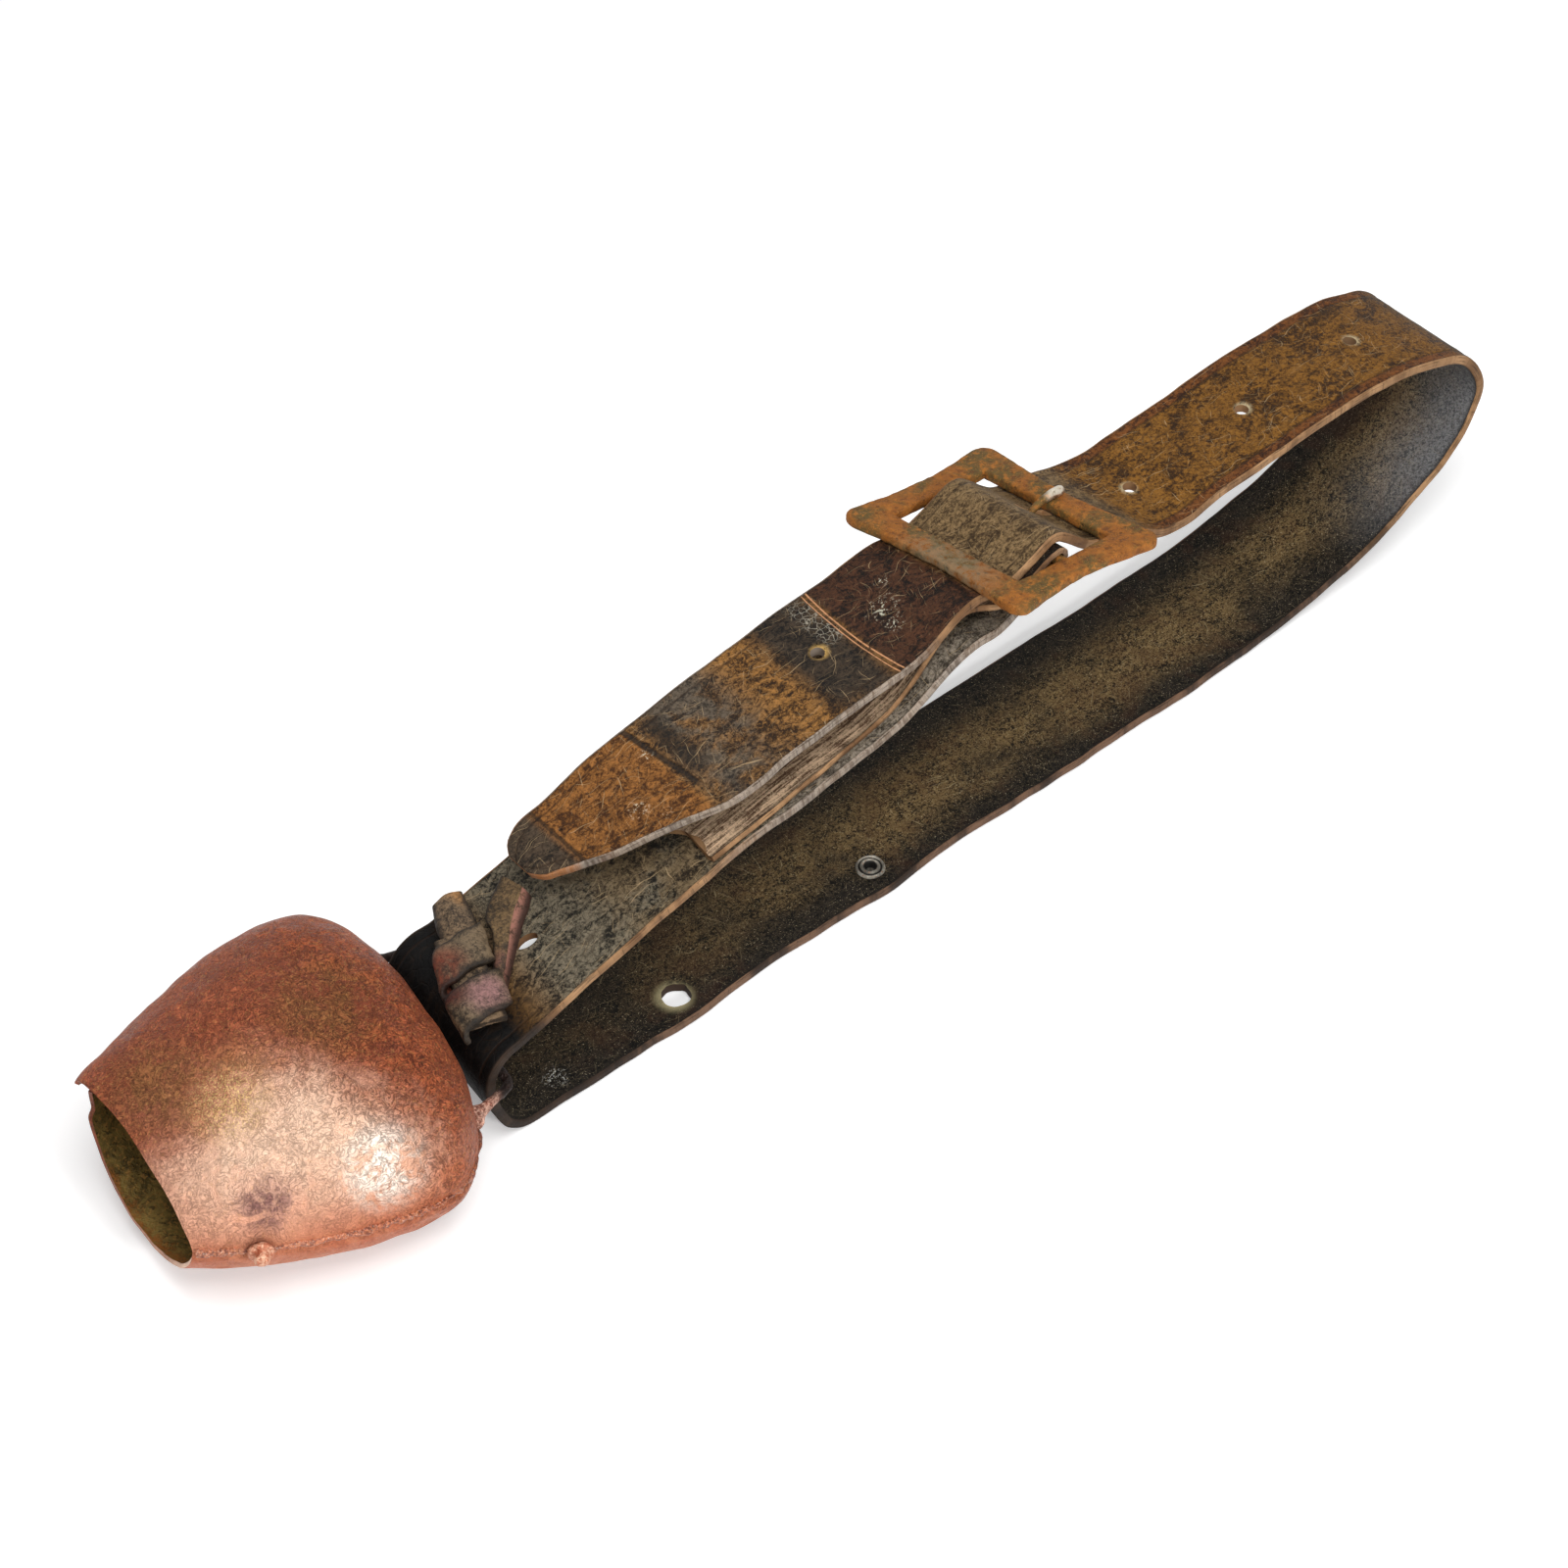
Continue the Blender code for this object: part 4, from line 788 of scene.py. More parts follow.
def clapperPieces():
    level = -bell["bailRise"] - 2 * clapper["sheet"] - clapper["stapleDrop"]
    hinge = bellPlace @ Matrix.Translation((0, 0, level)) @ turnBy(-clapper["lean"], "X")
    line = [Vector((0.0, across, up)) for across, up in arc(clapper["eye"], *clapper["eyeArc"])]
    start, end = -clapper["eye"] - clapper["neck"], -clapper["reach"] - clapper["ball"] - clapper["tail"]
    line += [Vector((0.0, 0.0, z)) for z in np.linspace(start, end, clapper["shankStops"])]
    radii = [clapper["rod"] / 2 * (0.95 + 0.12 * ripple(140, *p)) for p in line]
    shank = skinOver("clapperShank", tubeRings([hinge @ p for p in line], radii, 18, 0.0002), clapperIron)
    rings = []
    for step in range(1, clapper["ballRings"]):
        turn = math.pi * step / clapper["ballRings"]
        ring = []
        for side in range(clapper["ballSides"]):
            spin = 2 * math.pi * side / clapper["ballSides"]
            out = Vector((math.sin(turn) * math.cos(spin), math.sin(turn) * math.sin(spin), math.cos(turn)))
            swell = 1 + 0.05 * bump(out.z, 0.0, 0.12) - 0.03 + 0.05 * ripple(3.2, *out)
            ring.append(hinge @ (Vector((0, 0, -clapper["reach"])) + out * clapper["ball"] * swell))
        rings.append(ring)
    ball = skinOver("clapperBall", rings, clapperIron)
    rod, span = clapper["stapleRod"], clapper["stapleHalfSpan"]
    half = [Vector((span - rod + x, 0.0, level + rod + z)) for x, z in arc(rod, -90, 0, 10)]
    half += [Vector((span, 0.0, z)) for z in
             np.linspace(half[-1].z, -bell["bailRise"] + clapper["stapleProud"], 20)[1:]]
    line = [Vector((-p.x, 0.0, p.z)) for p in reversed(half)] + half
    rings = tubeRings([bellPlace @ p for p in line], [rod / 2] * len(line), 16)
    staple = skinOver("clapperStaple", rings, clapperIron)
    return shank, ball, staple


clapperShank, clapperBall, clapperStaple = clapperPieces()
keep(clapperShank, "clapper", "clapper_iron", "clapper_shank")
keep(clapperBall, "clapper", "clapper_iron", "clapper_ball")
keep(clapperStaple, "bell", "clapper_iron", "clapper_staple")
print("clapper done")

buckle = {
    "centre": joints["tongue_lift"]["pos_m"], "yaw": 1.5, "pitch": 8.3, "roll": -8.0, "length": 0.0726,
    "bar": 0.0139, "side": 0.0135, "windowWidth": 0.06, "thick": 0.0038, "corner": 0.0046, "dip": 0.003,
    "edge": 0.0011, "crown": 0.00035, "relief": ((0.0003, 95), (0.00016, 420)),
    "barRod": 0.004, "tongueRod": 0.003, "tongueReach": 0.0088, "wear": 0.0007, "barIn": 0.005,
    "eyeFit": 0.0003, "eyeArc": (20, 268, 30), "tongueLift": 0.0006, "tongueStep": 0.0007,
    "tongueTip": 0.0016,
}
windowLength = buckle["length"] - 2 * buckle["bar"]
buckleWidth = buckle["windowWidth"] + 2 * buckle["side"]
bucklePlace = posed(buckle["centre"], buckle)


def rustFinish(name, worn):
    finish, wire = newFinish(name, 0.2, 0.25)
    spot = wire.put("ShaderNodeTexCoord", out="Object")
    cloud = spot.grain(70, 5, 0.6, 0.4)
    scab = spot.grain(330, 6, 0.68)
    fine = spot.grain(1400, 3, 0.6)
    pits = spot.cells(330)
    scar = spot.near((0.034, -0.006, 0.117), 0.03) * scab.rise(0.38, 0.55)
    colour = cloud.rise(0.4, 0.6).paint((96, 78, 42), (150, 92, 38)).coats(
        (scab.rise(0.5, 0.62) * 0.8, (170, 108, 46)),
        (scab.rise(0.46, 0.36) * 0.7, (92, 54, 26)),
        ((cloud * 0.5 + fine * 0.5).rise(0.54, 0.62) * 0.6, (74, 50, 30)),
        (pits.rise(0.34, 0.12) * scab.rise(0.4, 0.56) * 0.6, (58, 34, 18)),
        (fine.rise(0.58, 0.66) * 0.5, (196, 132, 66)),
        (scar * 0.6, (120, 116, 96)))
    if worn:
        tip = spot.axes()[0].rise(0.09, 0.0955)
        colour = (tip * scab.rise(0.3, 0.5)).paint(colour, (206, 196, 178))
        rough = 0.62 - 0.34 * tip
        metal = 0.25 + 0.65 * tip
        dress(wire, colour, rough, scab + fine * 0.3, 0.0006, 0.7, metal)
        return finish
    rough = 0.56 + 0.28 * scab
    dress(wire, colour, rough, scab * 0.9 + fine * 0.35 - pits.rise(0.25, 0.0) * 0.5, 0.0008, 0.9)
    return finish


rust = rustFinish("rustedBuckle", False)
tongueIron = rustFinish("wornTongue", True)


def frameOutline():
    # (outer, inner) pairs round the frame, side by side with mitred corners
    halfX, halfY, inset = buckle["length"] / 2, buckleWidth / 2, buckle["corner"]
    windowX, windowY = windowLength / 2, buckle["windowWidth"] / 2
    corners = ((1, 1), (-1, 1), (-1, -1), (1, -1))
    pairs = []

    def rounded(side, angle):
        turn = math.radians(angle)
        return (side[0] * (halfX - inset) + inset * math.cos(turn),
                side[1] * (halfY - inset) + inset * math.sin(turn))

    for index, side in enumerate(corners):
        after = corners[(index + 1) % 4]
        square = 90 * index + 90
        turn = math.radians(square)
        run = [rounded(side, square - 45 + 45 * step / 8) for step in range(9)]
        first, last = run[-1], rounded(after, square)
        for step in range(1, 60):
            share = step / 60
            dip = buckle["dip"] * math.sin(math.pi * share) ** 1.2
            run.append((mix(first[0], last[0], share) - math.cos(turn) * dip,
                        mix(first[1], last[1], share) - math.sin(turn) * dip))
        run += [rounded(after, square + 45 * step / 8) for step in range(8)]
        for step, outer in enumerate(run):
            share = step / len(run)
            inner = (mix(side[0], after[0], share) * windowX, mix(side[1], after[1], share) * windowY)
            pairs.append((Vector((*outer, 0.0)), Vector((*inner, 0.0))))
    return pairs


def buckleFrame():
    rings = []
    half, edge = buckle["thick"] / 2, buckle["edge"]
    quarter = (0.0, 0.5, 1.05, math.pi / 2)
    for outer, inner in frameOutline():
        heading = (inner - outer).normalized()
        outer = outer + heading * buckle["wear"] * (0.3 + ripple(110, *outer) + 0.5 * ripple(320, *outer))
        inner = inner - heading * buckle["wear"] * 0.5 * ripple(150, *inner)
        wide = (inner - outer).length
        section = [(edge * (1 - math.cos(t)), half - edge * (1 - math.sin(t))) for t in quarter]
        section += [(mix(edge, wide - edge, k / 9), half) for k in range(1, 9)]
        section += [(wide - edge * (1 - math.sin(t)), half - edge * (1 - math.cos(t))) for t in quarter]
        section += [(across, -up) for across, up in reversed(section)]
        ring = []
        for across, up in section:
            spot = outer + heading * across
            crown = buckle["crown"] * math.sin(math.pi * across / wide)
            relief = sum(deep * ripple(scale, *spot) for deep, scale in buckle["relief"])
            ring.append(bucklePlace @ (spot + Vector((0, 0, up * (1 + crown / half) + relief))))
        rings.append(ring)
    return skinOver("buckleFrame", rings, rust, 55, 0.00001, True)


def buckleBar():
    reach = buckle["windowWidth"] / 2 + buckle["barIn"]
    line = [bucklePlace @ Vector((0.0, y, 0.0)) for y in np.linspace(-1, 1, 60) * reach]
    radii = [buckle["barRod"] / 2 * (0.94 + 0.1 * ripple(160, *p)) for p in line]
    return skinOver("buckleBar", tubeRings(line, radii, 18, 0.0002), rust)


def buckleTongue():
    eye = buckle["barRod"] / 2 + buckle["eyeFit"] + buckle["tongueRod"] / 2
    rest = buckle["thick"] / 2 + buckle["tongueLift"] + buckle["tongueRod"] / 2
    inside = windowLength / 2
    keys = [(0.0, -eye), (inside * 0.25, -eye * 0.86), (inside * 0.5, -eye * 0.4),
            (inside * 0.75, rest * 0.42), (inside, rest * 0.93), (inside + buckle["bar"] * 0.4, rest),
            (inside + buckle["tongueReach"], rest)]
    line = [Vector((x, 0.0, z)) for x, z in arc(eye, *buckle["eyeArc"])]
    line += curveThrough([Vector((x, 0.0, z)) for x, z in keys], buckle["tongueStep"])[1:]
    end = line[-1].x
    radii = []
    for point in line:
        back = end - point.x
        tip = math.sqrt(max(1 - (1 - min(back / buckle["tongueTip"], 1)) ** 2, 0.02))
        radii.append(buckle["tongueRod"] / 2 * (0.96 + 0.35 * bump(back, 0.004, 0.004)) * tip)
    return skinOver("buckleTongue", tubeRings([bucklePlace @ p for p in line], radii, 20, 0.0002), tongueIron)


keep(buckleFrame(), "collar", "rusted_iron", "buckle_frame")
keep(buckleBar(), "collar", "rusted_iron", "buckle_bar")
keep(buckleTongue(), "tongue", "rusted_iron", "buckle_tongue")
print("buckle done")

# the collar is one strap from the folded chape end, round the bail and the bend, to the tip
strap = {
    "leather": 0.0036, "wide": 0.029, "slim": 0.025, "tip": 0.0255, "tipShift": 0.001, "skive": 0.65,
    "slack": 0.0055, "inset": 0.001, "chapeEnd": -0.086, "runStart": -0.122, "runEnd": 0.15,
    "reach": 0.298, "top": 0.094, "tipEnd": (-0.136, 0.0705), "fit": 0.0003, "layer": 0.0006,
    "foldRadius": 0.009, "foldRoll": 4.0, "foldSag": 0.85, "foldFull": (0.0022, 0.0042),
    "rowStep": 0.002, "columns": 34, "corner": 0.0008, "edgeWander": 0.0008, "ripple": 0.00045,
    "ragged": 0.0055, "tornReach": 0.009, "chapeIn": (0.0015, 0.0045),
    "chapeEase": (-0.055, 0.05, 0.03, 0.012), "floorRun": (-0.145, 0.21),
    "floorEase": 0.02, "foldReach": 0.016, "foldNear": 0.0016, "fineRipple": 0.00012,
    "tool": (0.00022, 0.0042, 0.0007),
    "creases": ((-0.0006, 0.02, 0.0011, 0.0005), (-0.08, 0.1, 0.0016, 0.0006)), "edgeSwells": (
        (-0.097, 0.014, 0.0016), (-0.0066, 0.012, 0.0014), (0.03, 0.016, -0.0012), (-0.06, 0.012, -0.001)),
}


def station(x, z, half, near=None, yaw=0.0, roll=0.0, skive=1.0):
    # one cross section of the strap on its way
    return (x, z, -half if near is None else near, half, yaw, roll, skive)


def atBuckle(x, z, half, skive=1.0, hold=1.0):
    ruling = bucklePlace.to_3x3() @ Vector((0.0, 1.0, 0.0))
    point = bucklePlace @ Vector((x, 0.0, z))
    level = point - ruling * (point.y / ruling.y)
    return station(level.x, level.z, half, yaw=hold * math.atan2(-ruling.x, ruling.y),
                   roll=hold * math.asin(ruling.z), skive=skive)


def strapRuns():
    thick, fit, layer = strap["leather"], strap["fit"], strap["layer"]
    chapeThick = thick * strap["skive"]
    wide, slim, tip = strap["wide"], strap["slim"], strap["tip"]
    broad, floor, skive = wide - strap["inset"], thick / 2, strap["skive"]
    bellYaw, foldRoll, buckleYaw = (math.radians(v) for v in (bell["yaw"], strap["foldRoll"], buckle["yaw"]))
    rod = buckle["barRod"] / 2
    wrap = rod + fit + chapeThick / 2
    over = rod + fit + max(chapeThick, buckle["tongueRod"]) + layer + thick / 2
    barIn, barOut = windowLength / 2, buckle["length"] / 2
    under = -buckle["thick"] / 2 - layer - thick / 2
    second = under - thick / 2 - layer - chapeThick / 2
    third = second - chapeThick / 2 - layer - thick / 2
    main = [station(x, z, wide) for x, z in ((-0.002, 0.0815), (-0.045, 0.0735), (strap["chapeEnd"], 0.0665))]
    lift = (thick + chapeThick) / 2 + 0.001
    chape = [station(x, z + lift, wide, skive=skive) for x, z, *_ in reversed(main)]
    chape += [atBuckle(-barOut, second, broad, skive), atBuckle(-barIn, second, broad, skive)]
    bend = [atBuckle(x, z, broad, skive) for x, z in arc(wrap, 122, -118, 8)]
    main = [
        atBuckle(-barIn * 0.45, -wrap - thick - strap["slack"] / 3, broad, 0.85, 0.8),
        atBuckle(-barIn, third - strap["slack"], broad, hold=0.4),
        atBuckle(-barOut, third - strap["slack"], wide, hold=0.2)] + main
    bar = bellPlace.translation
    foldX, foldZ = bar.x + strap["foldRadius"] - bail["rod"] / 2 - 2 * fit, bar.z
    turn = strap["foldRadius"] + thick / 2
    main += [station(-0.12, 0.0585, wide, roll=foldRoll * 0.1),
             station(-0.148, mix(foldZ + turn, 0.0585, 0.45), wide, yaw=bellYaw * 0.5, roll=foldRoll * 0.5)]
    deep = mix(turn, foldZ - floor, strap["foldSag"])
    fold = [station(foldX + x, foldZ + (z if z > 0 else z / turn * deep), wide, yaw=bellYaw, roll=foldRoll)
            for x, z in arc(turn, 90, 262, 8)]
    lower = [station(-0.151, mix(floor, foldZ - deep, 0.34), wide, yaw=bellYaw * 0.4, roll=foldRoll * 0.35)]
    lower += [station(x, floor, wide) for x in (strap["runStart"], strap["runStart"] + 0.004,
                                                strap["runEnd"] - 0.004, strap["runEnd"])]
    reach, top = strap["reach"], strap["top"]
    rise = top - floor
    climb = [station(reach - back, floor + rise * share, wide - drop) for back, share, drop in (
        (0.092, 0.04, 0.0005), (0.055, 0.14, 0.001), (0.027, 0.285, 0.0015), (0.008, 0.455, 0.002),
        (0.0, 0.64, 0.0025), (0.008, 0.815, 0.003), (0.034, 0.955, 0.0035))]
    turnUp, upper = climb[:5], climb[5:]
    upper += [station(reach - back, top - fall, slim, yaw=buckleYaw * yaw) for back, fall, yaw in (
        (0.075, 0.0, 0.0), (0.11, 0.002, 0.0), (0.14, 0.0045, 0.0), (0.172, 0.0055, 0.6))]
    through = [atBuckle(barOut, under - layer, slim), atBuckle(barIn, under, slim)]
    through += [atBuckle(x, z, slim) for x, z in arc(over, 50, 130, 4)]
    through += [atBuckle(-barIn, under, slim), atBuckle(-barOut, under, slim)]
    endX, endZ = strap["tipEnd"]
    low, far = -tip - strap["tipShift"], tip - strap["tipShift"]
    tail = [station(0.008, 0.1025, far, low, buckleYaw * 0.4)]
    tail += [station(x, z, far, low) for x, z in ((-0.026, 0.099), (-0.052, 0.095), (-0.074, 0.0907))]
    tail += [station(-0.096, 0.0845, tip, -tip * 0.68), station(-0.116, 0.077, tip, -tip * 0.32),
             station(endX + 0.006, endZ + 0.0024, tip * 0.97, 0.0),
             station(endX + 0.002, endZ + 0.0009, tip * 0.86, tip * 0.12),
             station(endX, endZ, tip * 0.72, tip * 0.28)]
    return {"chape": chape, "bend": bend, "main": main, "fold": fold, "lower": lower, "turnUp": turnUp,
            "upper": upper, "through": through, "tail": tail}


def strapLine(step):
    # the stations joined by a smooth line, in short steps, each with the name of its run
    marks = [(name, key) for name, run in strapRuns().items() for key in run]
    points = [np.array(key) for _, key in marks]
    reach = [0.0]
    for before, after in zip(points, points[1:]):
        reach.append(reach[-1] + math.hypot(*(after - before)[:2]))

    def slope(index):
        low, high = max(index - 1, 0), min(index + 1, len(points) - 1)
        if low == index or high == index:
            return (points[high] - points[low]) / (reach[high] - reach[low])
        back, ahead = reach[index] - reach[low], reach[high] - reach[index]
        return ((points[index] - points[low]) / back * ahead
                + (points[high] - points[index]) / ahead * back) / (back + ahead)

    line = []
    for index in range(len(points) - 1):
        span = reach[index + 1] - reach[index]
        count = max(1, math.ceil(span / step))
        start, end = slope(index), slope(index + 1)
        for stop in range(count):
            t = stop / count
            line.append((marks[index][0], (
                points[index] * (2 * t ** 3 - 3 * t * t + 1) + start * (t ** 3 - 2 * t * t + t) * span
                + points[index + 1] * (3 * t * t - 2 * t ** 3) + end * (t ** 3 - t * t) * span)))
    line.append((marks[-1][0], points[-1]))
    return line


def rulingOf(values):
    yaw, roll = values[4], values[5]
    return Vector((-math.sin(yaw) * math.cos(roll), math.cos(yaw) * math.cos(roll), math.sin(roll)))


def strapPoint(values, y):
    ruling = rulingOf(values)
    return Vector((values[0], 0.0, values[1])) + ruling * (y / ruling.y)


strapRows = strapLine(strap["rowStep"])
strapAlong = [0.0]
for (_, before), (_, after) in zip(strapRows, strapRows[1:]):
    strapAlong.append(strapAlong[-1] + math.hypot(*(after - before)[:2]))


def rowsOf(run):
    return [index for index, (name, _) in enumerate(strapRows) if name == run]


def strapSeat(run, x, y):
    # mid-leather point of a run at x and y, its upward facing, and how far along the strap it is
    inRun = rowsOf(run)
    for index in range(inRun[0], min(inRun[-1] + 1, len(strapRows) - 1)):
        low, high = strapPoint(strapRows[index][1], y), strapPoint(strapRows[index + 1][1], y)
        if min(low.x, high.x) <= x <= max(low.x, high.x):
            share = (x - low.x) / (high.x - low.x)
            facing = (high - low).cross(rulingOf(strapRows[index][1])).normalized()
            reach = mix(strapAlong[index], strapAlong[index + 1], share)
            return low.lerp(high, share), facing if facing.z > 0 else -facing, reach
    raise ValueError(f"no strap at {x} on {run}")


def alongAt(run, x):
    return strapAlong[min(rowsOf(run), key=lambda index: abs(strapRows[index][1][0] - x))]


def slab(near, far, thick, columns, corner):
    # round a slab of leather: (across, through, zone), zone 0 outer face, 1 inner face, 2 cut edge
    c = min(corner, thick * 0.42)
    half = thick / 2
    quarter = (1.05, 0.52, 0.0)

    def face(start, end, level, zone):
        return [(mix(start, end, k / columns), level, zone if k < columns else 2) for k in range(columns + 1)]

    def rounding(middle, out, up, turns):
        return [(middle + out * c * math.cos(t), up * (half - c + c * math.sin(t)), 2) for t in turns]

    ring = face(near + c, far - c, half, 0)
    ring += rounding(far - c, 1, 1, quarter) + rounding(far - c, 1, -1, quarter[::-1])
    ring += face(far - c, near + c, -half, 1)
    return ring + rounding(near + c, -1, -1, quarter) + rounding(near + c, -1, 1, quarter[::-1])


tailCreases = [(alongAt("tail", x), slant, wide, deep) for x, slant, wide, deep in strap["creases"]]


def strapMesh(finishes):
    rings, maps, zones = [], [], []
    lowStart, lowEnd = (alongAt(run, x) for run, x in zip(("lower", "turnUp"), strap["floorRun"]))
    foldMiddle = alongAt("fold", -1.0)
    toolDepth, toolIn, toolWide = strap["tool"]
    for row, (run, values) in enumerate(strapRows):
        u = strapAlong[row]
        before = strapPoint(strapRows[max(row - 1, 0)][1], 0.0)
        after = strapPoint(strapRows[min(row + 1, len(strapRows) - 1)][1], 0.0)
        heading = (after - before).normalized()
        ruling = rulingOf(values)
        outward = ruling.cross(heading).normalized()
        near, far = values[2], values[3]
        calm = 0.5 if run in ("bend", "through", "fold") else 1.0
        wander = strap["edgeWander"] * calm
        fade = ease((far - near) / 0.03)
        near += fade * wander * (ripple(26, u, 0.3, 0) + 0.5 * ripple(95, u, 0.7, 0))
        far += fade * wander * (ripple(26, u, 4.3, 0) + 0.5 * ripple(95, u, 5.7, 0))
        if run == "chape":
            least, most = strap["chapeIn"]
            start, rise, end, fall = strap["chapeEase"]
            inward = mix(least, most, ease((values[0] - start) / rise))
            near += inward * (1 - ease((values[0] - end) / fall))
        if run == "lower":
            near -= sum(size * bump(values[0], at, wide) for at, wide, size in strap["edgeSwells"])
        thick = strap["leather"] * min(values[6], 1.0)
        onFloor = ease((u - lowStart) / strap["floorEase"]) * ease((lowEnd - u) / strap["floorEase"])
        lift = strap["ripple"] * calm * (1 - 0.9 * onFloor)
        full = bump(u, foldMiddle, strap["foldReach"])
        near -= strap["foldNear"] * full
        ring, ringMap = [], []
        section = slab(near, far, thick, strap["columns"], strap["corner"])
        for across, through, _ in section:
            t = through + full * mix(*strap["foldFull"], (across - near) / (far - near))
            t += lift * (ripple(30, u, across, 1.0) + 0.4 * ripple(85, u, across, 2.0))
            edge = min(across - near, far - across)
            if through > thick * 0.45:
                tooled = toolDepth * bump(edge, toolIn, toolWide)
                t += strap["fineRipple"] * ripple(260, u, across, 3.0) - tooled
                if run == "tail":
                    for at, slant, wide, deep in tailCreases:
                        t -= deep * bump(u, at + slant * across, wide)
            spot = strapPoint(values, across) + outward * t
            if u < strap["tornReach"]:
                # the chape's torn end
                torn = 0.5 + ripple(75, across, 0.2, 0) + 0.6 * ripple(230, across, 0.9, 0) + across * 18
                spot += heading * (1 - u / strap["tornReach"]) * strap["ragged"] * torn
            ring.append(spot)
            ringMap.append((u, across, edge, through / thick))
        rings.append(ring)
        maps.append(ringMap)
        zones = [zone for *_, zone in section]
    count = len(rings[0])
    points, faces = loft(rings)
    piece = place("collarStrap", points, faces, *finishes)
    flat = [entry for ring in maps for entry in ring]
    flat += [maps[0][0][:2] + (0.0, 0.0), maps[-1][0][:2] + (0.0, 0.0)]
    mesh = piece.data
    corners = np.empty(len(mesh.loops), np.int32)
    mesh.loops.foreach_get("vertex_index", corners)
    table = np.array(flat, np.float32)
    for name, picks in (("strapUv", (0, 1)), ("strapSide", (2, 3))):
        layer = mesh.uv_layers.new(name=name)
        layer.data.foreach_set("uv", table[corners][:, picks].ravel())
    picks = [zones[index % count] for index in range(count * (len(rings) - 1))]
    mesh.polygons.foreach_set("material_index", picks + [2] * (len(mesh.polygons) - len(picks)))
    mesh.shade_smooth()
    return piece


punches = {
    "hole": 0.0026, "upper": (0.134, 0.191, 0.248), "tail": -0.0155, "worn": (-0.097, -0.0192, 0.0054),
    "pin": (-0.1188, 0.0117, 0.0008), "slit": (-0.1457, -0.0021), "slitSize": (0.0042, 0.0023),
    "slitTurn": -11, "eyelet": (-0.0066, -0.019, 0.0031), "chape": (-0.058, 0.0105, 0.0017), "flecks": (
        (0.0132, -0.0007, 0.0085), (0.011, -0.009, 0.005), (-0.0829, 0.01, 0.004),
        (-0.0975, -0.004, 0.005), (-0.093, -0.013, 0.003), (0.022, 0.008, 0.004)),
}


def cutter(name, body, spot):
    # a cutting body whose walls take the strap's cut edge at a spot of its map
    mesh = bpy.data.meshes.new(name)
    layers = [body.loops.layers.uv.new(uvName) for uvName in ("strapUv", "strapSide")]
    for face in body.faces:
        face.material_index = 2
        for loop in face.loops:
            loop[layers[0]].uv = spot
            loop[layers[1]].uv = (0.004, 0.0)
    body.to_mesh(mesh)
    body.free()
    for finish in leathers:
        mesh.materials.append(finish)
    made = bpy.data.objects.new(name, mesh)
    strapCutters.objects.link(made)
    made.hide_render = True


def pinCutter(name, run, x, y, radius, sides=28, ragged=0.06, oval=(1.0, 1.0), angle=0.0):
    seat, facing, u = strapSeat(run, x, y)
    body = bmesh.new()
    bmesh.ops.create_cone(body, cap_ends=True, segments=sides, radius1=radius, radius2=radius,
                          depth=strap["leather"] * 3)
    for point in body.verts:
        swell = 1 + ragged * ripple(2.2, point.co.x / radius, point.co.y / radius, x * 40)
        point.co.x *= swell * oval[0]
        point.co.y *= swell * oval[1]
    bmesh.ops.transform(body, matrix=along(facing, seat) @ turnBy(angle, "Z"), verts=body.verts)
    cutter(name, body, (u, y))


def boxCutter(name, size, x, spot):
    # a box in the buckle's frame
    body = bmesh.new()
    matrix = bucklePlace @ Matrix.Translation((x, 0.0, 0.0)) @ Matrix.Diagonal((*size, 1.0))
    bmesh.ops.create_cube(body, size=1.0, matrix=matrix)
    cutter(name, body, spot)


def punchStrap():
    for index, x in enumerate(punches["upper"]):
        pinCutter(f"punch{index}", "upper", x, 0.0, punches["hole"])
    pinCutter("punchTail", "tail", punches["tail"], 0.0, punches["hole"])
    pinCutter("wornHole", "lower", *punches["worn"], 40, 0.12)
    pinCutter("pinHole", "tail", *punches["pin"], 12)
    pinCutter("eyeletHole", "lower", *punches["eyelet"])
    for side in (-1, 1):
        x, y, radius = punches["chape"]
        for run in ("chape", "main"):
            pinCutter(f"{run}Hole{side}", run, x, y * side, radius, 16, 0.0)
    pinCutter("slit", "main", *punches["slit"], 1.0, 24, 0.0, punches["slitSize"], punches["slitTurn"])
    chapeThick = strap["leather"] * strap["skive"]
    room = buckle["tongueRod"] / 2 + 0.0009
    wrap = buckle["barRod"] / 2 + strap["fit"] + max(chapeThick, buckle["tongueRod"])
    over = wrap + strap["layer"]
    boxCutter("chapeSlot", (2.6 * over, 2 * room, wrap + over), 0.2 * over, (0.1, 0.0))
    first, last = windowLength / 2 * 0.36, windowLength / 2 + 0.0012
    boxCutter("tongueHole", (last - first, 2 * room, 0.024), (first + last) / 2,
              (alongAt("through", 0.08), 0.0))


